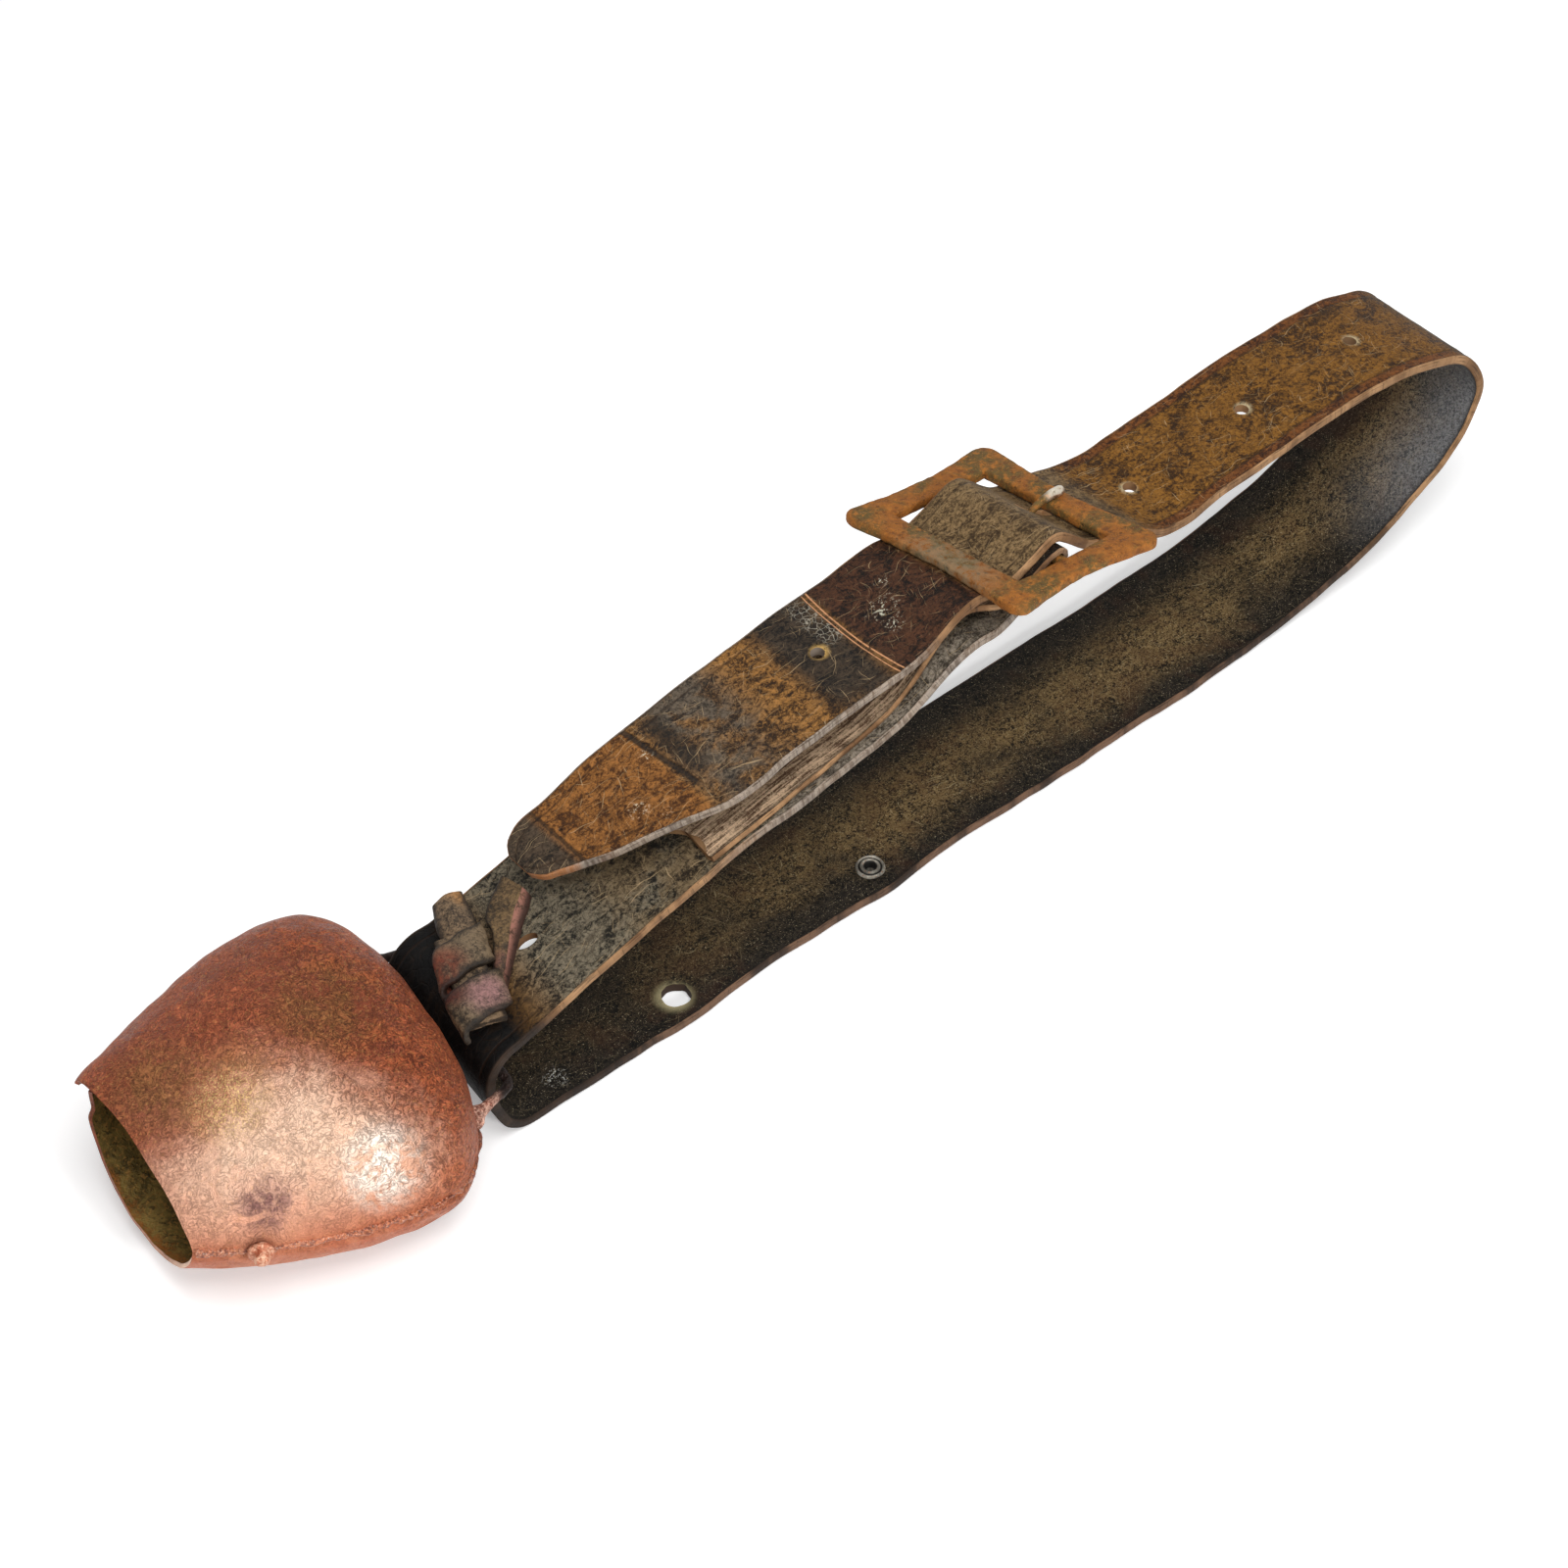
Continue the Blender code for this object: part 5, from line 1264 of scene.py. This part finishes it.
leatherTones = {
    # dark and light of the scuffed surface in each stretch of the collar
    "gold": ((42, 25, 9), (138, 94, 38)), "redEdge": ((44, 22, 12), (118, 66, 36)),
    "main": ((19, 18, 14), (121, 111, 93)), "mainBrown": ((38, 28, 18), (122, 98, 64)),
    # "fold" is painted shade: near black where the strap wraps the bail
    "fold": ((3, 3, 3), (14, 12, 11)), "under": ((30, 24, 17), (80, 62, 40)),
    "window": ((54, 40, 24), (138, 112, 77)), "red": ((14, 9, 7), (82, 52, 35)),
    "black": ((9, 9, 9), (66, 55, 44)), "tail": ((40, 25, 12), (160, 113, 60)),
    "smudge": ((32, 29, 26), (102, 90, 76)), "tip": ((58, 34, 16), (154, 102, 52)),
    "tipEnd": ((26, 21, 17), (82, 68, 54)), "strip": ((56, 50, 43), (152, 140, 124)),
    "flesh": ((7, 7, 6), (46, 41, 36)), "fleshGold": ((18, 14, 9), (140, 114, 76)),
    "chape": ((84, 62, 46), (216, 184, 150)),
}


def strapWires(wire):
    # the map along and across the strap, its two parts, the way in from the edge and the depth
    flat, side = (wire.put("ShaderNodeUVMap", {"uv_map": name}) for name in ("strapUv", "strapSide"))
    return flat, *flat.axes()[:2], *side.axes()[:2]


def speckle(grit, key):
    dark, light = leatherTones[key]
    return grit.rise(0.445, 0.56).paint(dark, light)


def onTail(x):
    # how far along the strap an x of the loose end is, counted from the buckle
    return alongAt("tail" if x < 0.008 else "through", x)


def bandLine(value, centre, width):
    return 1 - abs(value - centre).rise(width * 0.35, width)


def spotOn(u, v, atU, atV, reach):
    away = ((u - atU) ** 2 + (v - atV) ** 2) ** 0.5
    return 1 - away.rise(reach * 0.2, reach)


def grainFinish():
    finish, wire = newFinish("collarGrain", 0.11)
    flat, u, v, edge, _ = strapWires(wire)
    cloud = flat.grain(24, 5, 0.6, 0.5)
    blotch = flat.grain(85, 6, 0.68, 0.8)
    fibre = flat.grain(320, 5, 0.72, 1.6)
    fine = flat.grain(800, 4, 0.7, 0.5)
    pores = flat.grain(1900, 3, 0.7)
    worked = flat.warped(55, 0.012)
    streak = worked.stretch(75, 170, 1).grain(1.0, 6, 0.7, 1.4)
    grit = blotch * 0.22 + streak * 0.22 + fibre * 0.26 + fine * 0.18 + pores * 0.12
    cracks = flat.warped(90, 0.006).cracks(240, 0.05)
    foldAt = alongAt("main", -0.156)
    run = u.band(alongAt("main", 0.05), foldAt, 0.012)
    patchy = (cloud * 0.5 + blotch * 0.5).rise(0.42, 0.54)
    strip = u.band(alongAt("main", 0.06), alongAt("main", -0.06), 0.016) * v.rise(-0.017, -0.023)
    streaks = flat.stretch(24, 1500, 1).grain(1.0, 3, 0.6).rise(0.36, 0.56)
    colour = speckle(grit, "gold")
    for key, mask in (
            ("main", run),
            ("mainBrown", u.band(alongAt("main", -0.07), alongAt("main", -0.12), 0.012) * patchy * 0.6),
            ("strip", strip * (0.4 + 0.6 * streaks)),
            # painted shade: near black on the grain where the strap wraps the bail
            ("fold", u.band(foldAt + 0.004, alongAt("lower", -0.1), 0.01)),
            ("under", u.band(alongAt("lower", -0.1), alongAt("upper", 0.285), 0.012)),
            ("redEdge", (edge.rise(0.0052, 0.004)
                         * u.band(alongAt("upper", 0.28), alongAt("upper", 0.12), 0.01) * 0.7)),
            ("window", u.band(alongAt("upper", 0.118), onTail(0.036), 0.006)),
            ("red", u.band(onTail(0.036), onTail(-0.0006), 0.003)),
            ("tail", u.rise(onTail(0.0), onTail(-0.002))),
            ("black", (u.band(onTail(-0.0008), onTail(-0.027), 0.006)
                       * (v + (cloud - 0.5) * 0.05).rise(-0.04, -0.016))),
            ("smudge", u.band(onTail(-0.046), onTail(-0.078), 0.009) * (0.25 + 0.75 * patchy)),
            ("tip", u.rise(onTail(-0.079), onTail(-0.083))),
            ("tipEnd", u.rise(onTail(-0.119), onTail(-0.124)))):
        colour = mask.paint(colour, speckle(grit, key))
    stain = (1 - abs(u - onTail(-0.074)).rise(0.001, 0.007)) * v.band(-0.008, 0.022, 0.006)
    dark = (34, 24, 16)
    colour = colour.coats(
        (stain * 0.8, (30, 27, 24)),
        ((blotch * 0.45 + streak * 0.55).rise(0.53, 0.65) * 0.65, dark),
        (cracks * blotch.rise(0.44, 0.6) * 0.5, dark))
    loose = u.rise(alongAt("upper", 0.285), alongAt("upper", 0.27))
    for angle, length, start in ((7, 0.034, 0.665), (-33, 0.016, 0.68), (71, 0.015, 0.675),
                                 (49, 0.012, 0.685), (-14, 0.024, 0.68)):
        scratch = worked.lines(angle, length, 0.00055, start, start + 0.05)
        colour = (scratch * (loose + run) * 0.5).paint(colour, (190, 162, 122))
    tool = bandLine(edge, 0.0048, 0.0006) * (1 - run)
    bend = u - v * 0.02 + v * v * 3.0
    creases = bandLine(bend, onTail(-0.0006), 0.00045) + bandLine(bend, onTail(-0.0034), 0.0004)
    fold = bandLine(u - v * 0.1, onTail(-0.0795), 0.0015)
    tipFold = bandLine(u, onTail(-0.1205), 0.001)
    colour = colour.coats(
        (tool * (0.2 + 0.5 * blotch), (40, 26, 16)),
        (creases * fine.rise(0.28, 0.46) * 0.85, (212, 154, 110)),
        (fold * v.rise(-0.016, -0.01) * 0.85, (30, 27, 25)),
        (tipFold * 0.7, (36, 29, 21)))
    for x, y, reach in punches["flecks"]:
        fleck = spotOn(u, v, onTail(x), y, reach) * (fibre * 0.5 + fine * 0.5).rise(0.54, 0.58)
        colour = (fleck * 0.8).paint(colour, (206, 206, 184))
    scrawl = u.band(onTail(-0.004), onTail(-0.01), 0.002) * v.band(0.0, 0.022, 0.003)
    brass = spotOn(u, v, onTail(punches["tail"]), 0.0, 0.0046)
    colour = colour.coats(
        (scrawl * flat.warped(260, 0.004).cracks(420, 0.05) * 0.7, (190, 182, 164)),
        (brass * fine.rise(0.36, 0.5), (206, 166, 96)))
    for x in punches["upper"]:
        cream = spotOn(u, v, alongAt("upper", x), 0.0, 0.0044)
        colour = (cream * fine.rise(0.36, 0.5)).paint(colour, (206, 190, 152))
    colour = edge.rise(0.0018, 0.0).paint(colour, (40, 30, 21))
    rough = 0.4 + 0.22 * blotch + 0.16 * fine
    height = (fibre * 0.4 + fine * 0.3 + pores * 0.15 + blotch * 0.45 - tool * 0.4 - fold * 0.9
              - cracks * 0.18 - creases * 0.4 - tipFold * 0.4)
    dress(wire, colour, rough, height, 0.0009, 0.9)
    return finish


def fleshFinish():
    finish, wire = newFinish("collarFlesh", 0.07)
    flat, u, v, edge, _ = strapWires(wire)
    cloud = flat.grain(20, 5, 0.6, 0.4)
    blotch = flat.grain(85, 6, 0.68, 0.6)
    hairs = flat.grain(380, 4, 0.72, 3.0)
    fine = flat.grain(850, 4, 0.7, 1.0)
    dust = flat.grain(1900, 3, 0.65)
    worked = flat.warped(55, 0.012)
    streak = worked.stretch(75, 170, 1).grain(1.0, 6, 0.7, 1.4)
    strands = (1 - abs(hairs - 0.5).rise(0.0, 0.03)) * fine.rise(0.42, 0.56)
    grit = blotch * 0.12 + streak * 0.2 + hairs * 0.28 + fine * 0.25 + dust * 0.15
    middle = 1 - abs(v + 0.002 + (cloud - 0.5) * 0.02).rise(0.004, 0.024)
    hidden = u.rise(alongAt("lower", -0.13), alongAt("lower", 0.01))
    gold = middle * (0.25 + 0.75 * cloud.rise(0.38, 0.58)) * (0.25 + 0.75 * hidden)
    colour = speckle(grit, "flesh").coats(
        (gold, speckle(grit, "fleshGold")),
        (strands * (0.1 + 0.55 * gold), (178, 152, 104)),
        ((hairs * 0.4 + dust * 0.6).rise(0.57, 0.65) * (0.2 + 0.8 * gold), (180, 156, 110)),
        ((blotch * 0.4 + streak * 0.6).rise(0.54, 0.64) * 0.55, (12, 11, 10)))
    for angle, length in ((12, 0.02), (-50, 0.014), (68, 0.014)):
        scratch = worked.lines(angle, length, 0.0005, 0.68, 0.73)
        colour = (scratch * (0.25 + 0.5 * gold)).paint(colour, (176, 158, 122))
    reds = (blotch * 0.4 + cloud * 0.6).rise(0.5, 0.6)
    turn = u.band(alongAt("turnUp", 0.255), alongAt("upper", 0.292), 0.03)
    sheen = turn * v.rise(0.012, -0.022) * (0.35 + 0.65 * (fine * 0.5 + hairs * 0.5).rise(0.4, 0.6))
    chape = 1 - u.rise(alongAt("chape", 0.03), alongAt("chape", 0.05))
    fibres = flat.stretch(60, 900, 1).grain(1.0, 4, 0.65, 0.6)
    colour = colour.coats(
        ((dust * 0.7 + fine * 0.3).rise(0.605, 0.635) * 0.75, (206, 192, 160)),
        (reds * 0.35, (62, 38, 26)),
        (sheen * 0.75, (136, 136, 138)),
        (chape, speckle(grit * 0.6 + fibres * 0.4, "chape")))
    x, y, radius = punches["worn"]
    halo = spotOn(u, v, alongAt("lower", x), y, radius * 1.65)
    chalk = (spotOn(u, v, alongAt("lower", -0.16), -0.0205, 0.006)
             * (fine * 0.5 + hairs * 0.5).rise(0.54, 0.58))
    colour = colour.coats(
        (halo * blotch.rise(0.3, 0.5) * 0.9, (206, 194, 148)),
        (chalk * 0.85, (216, 216, 208)),
        (edge.rise(0.003, 0.0), (26, 23, 20)))
    rough = 0.52 + 0.24 * blotch - 0.14 * turn
    dress(wire, colour, rough, hairs * 0.5 + fine * 0.5 + dust * 0.25 + blotch * 0.4, 0.001, 0.95)
    return finish


def edgeFinish():
    finish, wire = newFinish("collarCutEdge", 0.2)
    flat, u, v, _, through = strapWires(wire)
    cloud = flat.grain(48, 5, 0.62)
    fine = flat.grain(700, 4, 0.68)
    around = flat.put("ShaderNodeCombineXYZ", None, {0: u * 90, 1: through * 7, 2: v * 10})
    layers = around.grain(1.0, 5, 0.68)
    pale = u.band(alongAt("bend", 0.0705), alongAt("main", -0.075), 0.02) + u.rise(onTail(0.02), onTail(0.0))
    low = u.band(alongAt("lower", -0.16), alongAt("turnUp", 0.25), 0.03)
    # painted shade: the cut edges near black where the strap wraps the bail
    fold = u.band(alongAt("main", -0.158), alongAt("lower", -0.13), 0.006)
    tip = u.rise(onTail(-0.108), onTail(-0.134))
    colour = cloud.rise(0.38, 0.62).paint((112, 80, 52), (168, 130, 92)).coats(
        (pale * 0.8, fine.rise(0.35, 0.65).paint((92, 84, 76), (170, 160, 148))),
        (low * 0.9, cloud.rise(0.4, 0.6).paint((30, 25, 22), (104, 78, 62))),
        (fold * 0.94, cloud.rise(0.4, 0.6).paint((14, 11, 10), (44, 32, 25))),
        (tip * cloud.rise(0.36, 0.5) * 0.8, (160, 98, 44)),
        (layers.rise(0.52, 0.64) * 0.7, (44, 33, 26)),
        (fine.rise(0.56, 0.68) * 0.6, (50, 38, 30)))
    dress(wire, colour, 0.62 + 0.2 * fine, layers * 0.8 + fine * 0.5, 0.0007, 0.8)
    return finish


leathers = (grainFinish(), fleshFinish(), edgeFinish())
strapCutters = bpy.data.collections.new("strapCutters")
bpy.context.scene.collection.children.link(strapCutters)


def punchedStrap():
    piece = strapMesh(leathers)
    faceOut(piece.data)
    punchStrap()
    cut = piece.modifiers.new("punches", "BOOLEAN")
    cut.operation = "DIFFERENCE"
    cut.operand_type = "COLLECTION"
    cut.collection = strapCutters
    cut.solver = "EXACT"
    cut.material_mode = "INDEX"
    plainMesh(piece)
    for old in list(strapCutters.objects):
        bpy.data.objects.remove(old, do_unlink=True)
    bpy.data.collections.remove(strapCutters)
    return smooth(piece, 60)


collarStrap = punchedStrap()
keep(collarStrap, "collar", "collar_leather", "strap")
print("strap:", len(collarStrap.data.polygons), "faces")

stud = {"head": 0.0044, "crown": 0.0013, "shank": 0.0014, "burr": 0.0042, "burrThick": 0.001,
        "sides": {"studShape": 32, "burrShape": 32, "eyeletShape": 40}, "rough": 0.0002, "proud": 0.0004,
        "eyeletProud": 0.0003}


def chapeSeats():
    tops, lows = [], []
    for side in (-1, 1):
        x, y, _ = punches["chape"]
        high, facing, _ = strapSeat("chape", x, y * side)
        low, _, _ = strapSeat("main", x, y * side)
        half = strap["leather"] / 2
        tops.append((high + facing * (half * strap["skive"] + stud["proud"]), facing))
        lows.append((low - facing * (half + stud["proud"]), -facing))
    return tops, lows


def studShapes():
    head, crown, shank, burr, thick = (stud[key] for key in ("head", "crown", "shank", "burr", "burrThick"))
    profiles = {
        "studShape": (
            (0.0, crown), (head * 0.4, crown * 0.96), (head * 0.78, crown * 0.66), (head, crown * 0.2),
            (head * 0.98, 0.0), (shank, 0.0), (shank, -0.0026), (0.0, -0.0026)),
        "burrShape": (
            (0.0, thick + 0.0008), (shank * 1.3, thick + 0.0007), (shank * 1.5, thick), (burr * 0.94, thick),
            (burr, thick * 0.6), (burr, 0.0), (0.0, 0.0)),
        "eyeletShape": (
            (0.0018, 0.0), (0.0022, 0.0008), (0.003, 0.0013), (0.0036, 0.0009), (0.004, 0.0003),
            (0.0044, 0.0005), (0.0049, 0.0011), (0.0053, 0.0005), (0.0054, -0.0001), (0.0028, -0.0002),
            (0.0028, -0.0035), (0.0017, -0.0035)),
    }
    return [turnedShape(name, profile, stud["sides"][name], stud["rough"])
            for name, profile in profiles.items()]


studShape, burrShape, eyeletShape = studShapes()
topSeats, lowSeats = chapeSeats()
keep(setFasteners("chapeRivets", studShape, topSeats, rust, 2),
     "collar", "rusted_iron", "chape_near_rivet", "chape_far_rivet")
keep(setFasteners("chapeBurrs", burrShape, lowSeats, rust, 3),
     "collar", "rusted_iron", "chape_near_burr", "chape_far_burr")
x, y, _ = punches["eyelet"]
seat, facing, _ = strapSeat("lower", x, y)
eyeletSeat = [(seat + facing * (strap["leather"] / 2 + stud["eyeletProud"]), facing)]
eyeletIron = ironFinish("eyeletIron", (92, 88, 80), (186, 180, 166), tuple(eyeletSeat[0][0]))
keep(setFasteners("runEyelet", eyeletShape, eyeletSeat, eyeletIron, 5), "collar", "rusted_iron", "run_eyelet")
for shape in [piece for piece in bpy.data.objects if piece.name.endswith("Shape")]:
    bpy.data.objects.remove(shape, do_unlink=True)
print("collar studs done")

# the thong is tied beside the bell
thong = {
    "thick": 0.0024, "knot": ((-0.1683, 0.0041, 0.0552), (-0.1747, -0.0133, 0.0532)),
    "coreHalf": (0.0068, 0.0016), "coreOut": (0.009, 0.0085), "coreRoof": 0.0008, "halfBand": 0.0092,
    "rise": 0.0034, "band": 0.0158, "tuck": 106, "wander": 0.0012, "wrapRoof": 0.0007, "corner": 0.0007,
    "creases": ((0.00045, 150), (0.0002, 480)), "tabForm": (0.003, 0.0), "tailForm": (0.0006, 0.0055),
    "coreStops": 40, "wrapStops": 150, "flapStops": 40, "flapStep": 0.0004,
    "tabLeft": ((-0.17, 0.0085, 0.054), (-0.1672, 0.019, 0.055), (-0.1622, 0.028, 0.056)),
    "tabRight": ((-0.159, 0.0045, 0.0552), (-0.1552, 0.0125, 0.0562), (-0.1512, 0.0258, 0.0578)),
    "tailLeft": ((-0.1379, 0.0212, 0.06), (-0.1507, 0.014, 0.0562), (-0.154, 0.0062, 0.0552),
                 (-0.1625, -0.005, 0.0518)),
    "tailRight": ((-0.1355, 0.0093, 0.0604), (-0.1398, 0.006, 0.0592), (-0.1444, 0.003, 0.0576),
                  (-0.162, -0.0112, 0.0512)),
}


def thongFinish(name, dark, light, marks, ridge=None):
    finish, wire = newFinish(name, 0.2)
    spot = wire.put("ShaderNodeTexCoord", out="Object")
    edge, share, _ = wire.put("ShaderNodeUVMap", {"uv_map": "thongSide"}).axes()
    cloud = spot.grain(90, 5, 0.62, 0.5)
    fine = spot.grain(620, 4, 0.7, 0.6)
    pores = spot.grain(1700, 3, 0.65)
    grit = cloud * 0.3 + fine * 0.45 + pores * 0.25
    lights = grit.rise(0.4, 0.6)
    colour = lights.paint(dark, light)
    for centre, reach, *shade in marks:
        mark = spot.near(centre, reach) * (0.3 + 0.7 * cloud.rise(0.36, 0.54))
        colour = mark.paint(colour, lights.paint(tuple(part * 0.55 for part in shade), tuple(shade)))
    # the half of the strip past its ridge painted lighter as its lit side, a painted highlight
    if ridge:
        colour = (share.rise(0.52, 0.6) * fine.rise(0.34, 0.52)).paint(colour, ridge)
    # painted shade along the band's edges, where the bands tuck under each other
    colour = (edge.rise(0.0024, 0.0003) * 0.85).paint(colour, (20, 15, 11))
    dress(wire, colour, 0.44 + 0.2 * fine, fine * 0.5 + cloud * 0.7 + pores * 0.15, 0.001, 0.9)
    return finish


def ribbon(name, finish, parts, columns=16):
    # each row of a part: centre, across, outward, half width, thickness, roof height and the drop
    # of the side past the ridge
    points, faces, table = [], [], []
    for rows in parts:
        rings = []
        for centre, across, outward, half, thick, roof, drop in rows:
            ring = []
            for y, t, _ in slab(-half, half, thick, columns, thong["corner"]):
                share = y / half
                shape = t + roof * (1 - abs(share) ** 1.5) - drop * max(0.0, share - 0.5)
                spot = centre + across * y + outward * shape
                creased = sum(deep * ripple(scale, *spot) for deep, scale in thong["creases"])
                ring.append(spot + outward * creased)
                table.append((half - abs(y), share))
            rings.append(ring)
        first = len(points)
        morePoints, moreFaces = loft(rings)
        points += morePoints
        faces += [tuple(index + first for index in face) for face in moreFaces]
        table += [(0.0, 0.0)] * 2
    piece = place(name, points, faces, finish)
    layer = piece.data.uv_layers.new(name="thongSide")
    for loop, corner in zip(piece.data.loops, layer.data):
        corner.uv = table[loop.vertex_index]
    return settle(piece, 60)


def flapRows(left, right, roof, drop):
    # rows between two sides given by a few points
    sides, count = [], thong["flapStops"]
    for side in (left, right):
        line = curveThrough([Vector(point) for point in side], thong["flapStep"])
        sides.append([line[round(step / (count - 1) * (len(line) - 1))] for step in range(count)])
    middles = [(a + b) / 2 for a, b in zip(*sides)]
    rows = []
    for index, (a, b) in enumerate(zip(*sides)):
        heading = middles[min(index + 1, count - 1)] - middles[max(index - 1, 0)]
        across = (b - a).normalized()
        outward = across.cross(heading).normalized()
        rows.append((middles[index], across, outward if outward.z > 0 else -outward, (b - a).length / 2,
                     thong["thick"], roof, drop))
    return rows


def knotRows():
    first, second = (Vector(point) for point in thong["knot"])
    axis = (second - first).normalized()
    pitch = (second - first).length
    across = axis.cross(Vector((0, 0, 1))).normalized()
    up = across.cross(axis)
    (halfWide, halfDeep), (before, after), tuck = thong["coreHalf"], thong["coreOut"], thong["tuck"]
    core = [(first.lerp(second, share), across, up, halfWide, 2 * halfDeep, thong["coreRoof"], 0.0)
            for share in np.linspace(-before / pitch, 1 + after / pitch, thong["coreStops"])]
    wrap = []
    for angle in np.linspace(math.radians(-tuck), math.radians(360 + tuck), thong["wrapStops"]):
        outward = across * math.sin(angle) / thong["halfBand"] + up * math.cos(angle) / thong["rise"]
        forward = pitch * angle / (2 * math.pi) + thong["wander"] * ripple(1.3, angle, 0.4, 0)
        centre = (first + axis * forward
                  + across * thong["halfBand"] * math.sin(angle) + up * thong["rise"] * math.cos(angle))
        half = thong["band"] / 2 * (1 + 0.1 * ripple(1.1, angle, 2.7, 0))
        skewed = (axis + across * 0.12 * math.sin(angle * 0.5 + 0.7)).normalized()
        roof = thong["wrapRoof"] * max(math.cos(angle), 0)
        wrap.append((centre, skewed, outward.normalized(), half, thong["thick"], roof, 0.0))
    return core, wrap


coreRows, wrapRows = knotRows()
tabLeather = thongFinish("thongTab", (40, 32, 24), (130, 107, 82), (
    ((-0.1515, 0.0258, 0.058), 0.009, 176, 128, 78),))
# on the second band the mauve-pink mark is its colour with painted highlight, the dark red mark beside it
# painted shade
wrapLeather = thongFinish("thongWrap", (32, 26, 19), (116, 98, 76), (
    ((-0.172, -0.0142, 0.057), 0.011, 152, 112, 108), ((-0.1808, -0.0066, 0.055), 0.009, 84, 38, 30),
    ((-0.176, 0.003, 0.055), 0.012, 118, 54, 36)))
tailLeather = thongFinish("thongTail", (40, 31, 20), (116, 92, 62), (
    ((-0.16, -0.008, 0.053), 0.012, 116, 78, 66),), (146, 100, 86))
tabRows = flapRows(thong["tabLeft"], thong["tabRight"], *thong["tabForm"])
tailRows = flapRows(thong["tailLeft"], thong["tailRight"], *thong["tailForm"])
thongCore = ribbon("thongCore", tabLeather, (coreRows, tabRows))
thongWrap = ribbon("thongWrap", wrapLeather, (wrapRows,))
thongTail = ribbon("thongTail", tailLeather, (tailRows,))
keep(thongCore, "collar", "thong_leather", "thong_core")
keep(thongWrap, "collar", "thong_leather", "thong_wrap")
keep(thongTail, "collar", "thong_leather", "thong_tail")
for piece in (thongCore, thongWrap):
    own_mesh(piece)
print("thong done")

studio = {
    "floorSize": 6.0, "floorLevel": -0.0004, "floorGrey": 0.86, "floorGlow": 0.3, "ambient": 0.42,
    "lightAim": (0, 0, 0.04), "lights": (
        ("keyLight", (-0.3, -0.45, 1.35), 13.0, 0.8), ("accentLight", (-0.22, -1.12, 0.6), 7.0, 0.2),
        ("fillLight", (0.75, 0.55, 1.25), 1.6, 1.1)),
}


def seenDirectly(wire):
    # 1 to the camera, and in mirrors and glass
    light = wire.put("ShaderNodeLightPath")
    mirrored = light.maths("MAXIMUM", light, light.other("Is Glossy Ray"))
    return light.maths("MAXIMUM", mirrored, light.other("Is Transmission Ray"))


def floorFinish():
    finish = bpy.data.materials.new("paleFloor")
    finish.use_nodes = True
    tree = finish.node_tree
    tree.nodes.clear()
    wire = Wire(tree)
    strength = seenDirectly(wire) * studio["floorGlow"]
    matte = wire.put("ShaderNodeBsdfDiffuse", None, {"Color": (*[studio["floorGrey"]] * 3, 1.0)})
    glow = wire.put("ShaderNodeEmission", None, {"Color": (1.0, 1.0, 1.0, 1.0), "Strength": strength})
    both = wire.put("ShaderNodeAddShader", None, {0: matte, 1: glow})
    tree.links.new(both.socket, tree.nodes.new("ShaderNodeOutputMaterial").inputs["Surface"])
    return finish


half, level = studio["floorSize"] / 2, studio["floorLevel"]
floor = place("floor", [(x * half, y * half, level) for x, y in ((-1, -1), (1, -1), (1, 1), (-1, 1))],
              [(0, 1, 2, 3)], floorFinish())


def lightRoom():
    world = bpy.data.worlds.new("studio")
    bpy.context.scene.world = world
    world.use_nodes = True
    tree = world.node_tree
    back = tree.nodes["Background"]
    strength = seenDirectly(Wire(tree)) * (1 - studio["ambient"]) + studio["ambient"]
    back.inputs["Color"].default_value = (1.0, 1.0, 1.0, 1.0)
    tree.links.new(strength.socket, back.inputs["Strength"])
    for name, spot, power, size in studio["lights"]:
        lamp = bpy.data.lights.new(name, "AREA")
        lamp.energy = power
        lamp.size = size
        made = link(name, lamp)
        made.location = spot
        made.rotation_euler = (Vector(studio["lightAim"]) - Vector(spot)).to_track_quat("-Z", "Y").to_euler()


lightRoom()
view = {"azimuth": -41.16, "elevation": 46.0, "aim": (0.0, 0.0351, 0.0), "distance": 1.428, "lens": 90.0,
        "sensor": 36.0}
az, el = math.radians(view["azimuth"]), math.radians(view["elevation"])
back = Vector((math.sin(az) * math.cos(el), -math.cos(az) * math.cos(el), math.sin(el)))
lens = bpy.data.cameras.new("camera")
lens.lens = view["lens"]
lens.sensor_width = view["sensor"]
camera = link("camera", lens)
camera.location = Vector(view["aim"]) + back * view["distance"]
camera.rotation_euler = (-back).to_track_quat("-Z", "Y").to_euler()
bpy.context.scene.camera = camera
bpy.context.scene.view_settings.view_transform = "Standard"
